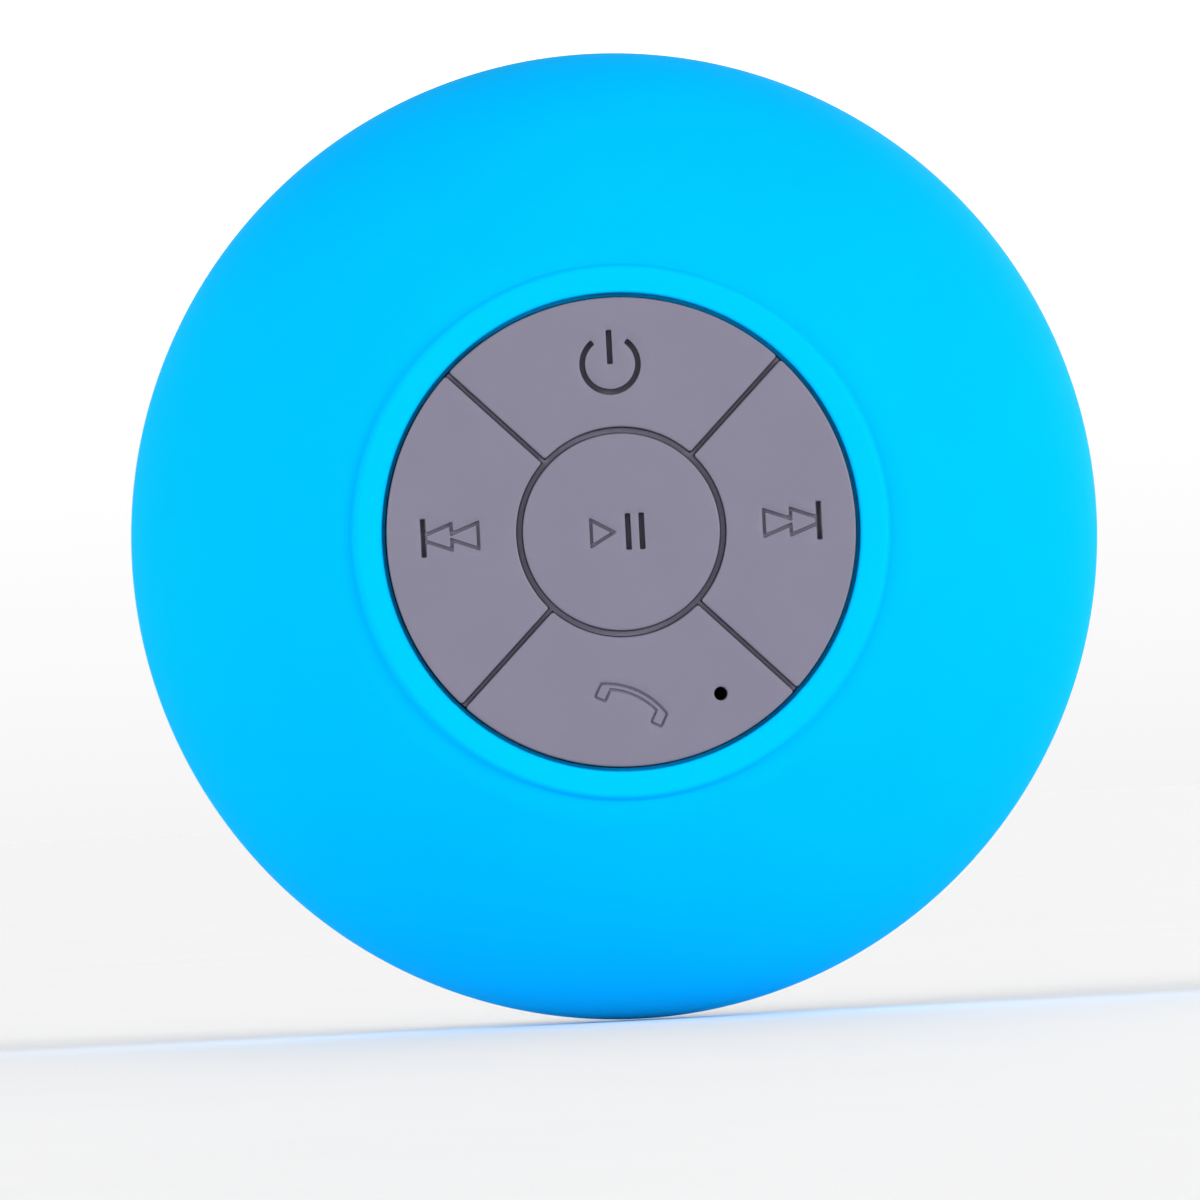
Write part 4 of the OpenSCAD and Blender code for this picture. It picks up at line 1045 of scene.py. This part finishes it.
def dress_cad(shown):
    """Gives each CAD node its slot's material, and rounds the hard edges of those that show."""
    plain_edge = 0.08
    soft_edge = {
        "rear_housing": 0.25, "front_housing": 0.3, "speaker_basket": 0.15, "battery": 0.6,
        "keypad_mat": 0.1}
    for part in frame["record"]["subparts"]:
        obj = frame["nodes"][part["node"]]
        if not obj.material_slots:
            obj.data.materials.append(None)
        for entry in obj.material_slots:
            entry.material = FINISH[part["material_slot"]]
        if part["node"] not in shown:
            continue
        weld = obj.modifiers.new("weld", "WELD")
        weld.merge_threshold = 0.002 * MM
        flat = obj.modifiers.new("flat", "DECIMATE")
        flat.decimate_type = "DISSOLVE"
        flat.angle_limit = radians(0.5)
        bevel = obj.modifiers.new("bevel", "BEVEL")
        bevel.width = soft_edge.get(part["node"], plain_edge) * MM
        bevel.segments = 2
        bevel.limit_method = "ANGLE"
        bevel.angle_limit = radians(40)
        bevel.harden_normals = True
        bevel.use_clamp_overlap = True
        normals = obj.modifiers.new("normals", "WEIGHTED_NORMAL")
        normals.keep_sharp = True


make_sleeve()
make_keys()
make_key_ribs()
make_cup()
make_flap()
make_flap_pin()
make_mesh()
dress_cad({n for n, o in frame["nodes"].items() if not o.hide_render})


# ---- Studio ----

FLOOR_TONE = 0.914
OVERHEAD_TONE = 0.15


def studio_world():
    """Soft white light: pale like the floor below the horizon, white above it and weaker overhead."""
    world = bpy.data.worlds.new("studio")
    world.use_nodes = True
    nodes, links = world.node_tree.nodes, world.node_tree.links
    place = nodes.new("ShaderNodeTexCoord")
    split = nodes.new("ShaderNodeSeparateXYZ")
    ramp = nodes.new("ShaderNodeValToRGB")
    background = nodes["Background"]
    # heights run from 0 at the horizon to 1 overhead
    tones = ((0, FLOOR_TONE), (0.02, 1), (0.06, 1.4), (0.35, 1.1), (1, OVERHEAD_TONE))
    stops = ramp.color_ramp.elements
    stops[0].position, stops[1].position = tones[0][0], tones[-1][0]
    for height, _ in tones[1:-1]:
        stops.new(height)
    for stop, (_, tone) in zip(stops, tones):
        stop.color = (tone, tone, tone, 1)
    links.new(place.outputs["Generated"], split.inputs[0])
    links.new(split.outputs["Z"], ramp.inputs[0])
    links.new(ramp.outputs[0], background.inputs["Color"])
    bpy.context.scene.world = world


def sun(name, azimuth, elevation, strength, spread):
    """Even light from a wide soft source. Azimuth 0 is in front of the key pad, and 90 is to its right."""
    light = bpy.data.lights.new(name, "SUN")
    light.energy = strength
    light.angle = radians(spread)
    obj = bpy.data.objects.new(name, light)
    a, e = radians(azimuth), radians(elevation)
    away = Vector((sin(a) * cos(e), -cos(a) * cos(e), sin(e)))
    obj.rotation_euler = away.to_track_quat("Z", "Y").to_euler()
    bpy.context.scene.collection.objects.link(obj)


def make_floor(height):
    """A wide pale disc, slightly mottled like painted board."""
    wide, sides = 40000, 96
    shell = Shell()
    rim = shell.add([(x, height, z) for x, z in circle(0, 0, wide, sides)])
    centre = shell.add([(0, height, 0)])
    shell.bridge(rim, centre)
    mesh = bpy.data.meshes.new("floor")
    mesh.from_pydata([(x * MM, -out * MM, up * MM) for x, up, out in shell.points], [], shell.faces)
    finish = Finish("floor_paint")
    finish.colour((0.94, 0.94, 0.945), 0.01, 60)
    finish.rough(0.6, 0.7, 20)
    mesh.materials.append(finish.material)
    obj = bpy.data.objects.new("floor", mesh)
    bpy.context.scene.collection.objects.link(obj)


def make_camera():
    """A long lens a little to the left of and below the axis, and rolled, as the photographer held it."""
    azimuth, elevation, roll = radians(-1.6), radians(-0.7), radians(2.9)
    distance, view_w = 1.5, 0.1068
    aim_right, aim_up = -0.00157, -0.00561
    back = Vector((sin(azimuth) * cos(elevation), -cos(azimuth) * cos(elevation), sin(elevation)))
    level = back.to_track_quat("Z", "Y")
    turn = level @ Matrix.Rotation(-roll, 3, "Z").to_quaternion()
    centre = Vector((0, -WAIST_H * MM, 0))
    aim = centre + level @ Vector((aim_right, aim_up, 0))
    lens = bpy.data.cameras.new("camera")
    lens.sensor_width = 36
    lens.lens = 36 * distance / view_w
    lens.clip_end = 100
    obj = bpy.data.objects.new("camera", lens)
    obj.rotation_mode = "QUATERNION"
    obj.location = aim + back * distance
    obj.rotation_quaternion = turn
    bpy.context.scene.collection.objects.link(obj)
    bpy.context.scene.camera = obj


bpy.context.scene.view_settings.view_transform = "Standard"
studio_world()
make_floor(-BODY_R - 0.1)
sun("key", azimuth=62, elevation=6, strength=2.9, spread=40)
sun("fill", azimuth=-58, elevation=6, strength=2.35, spread=60)
sun("back", azimuth=150, elevation=8, strength=0.6, spread=50)
make_camera()
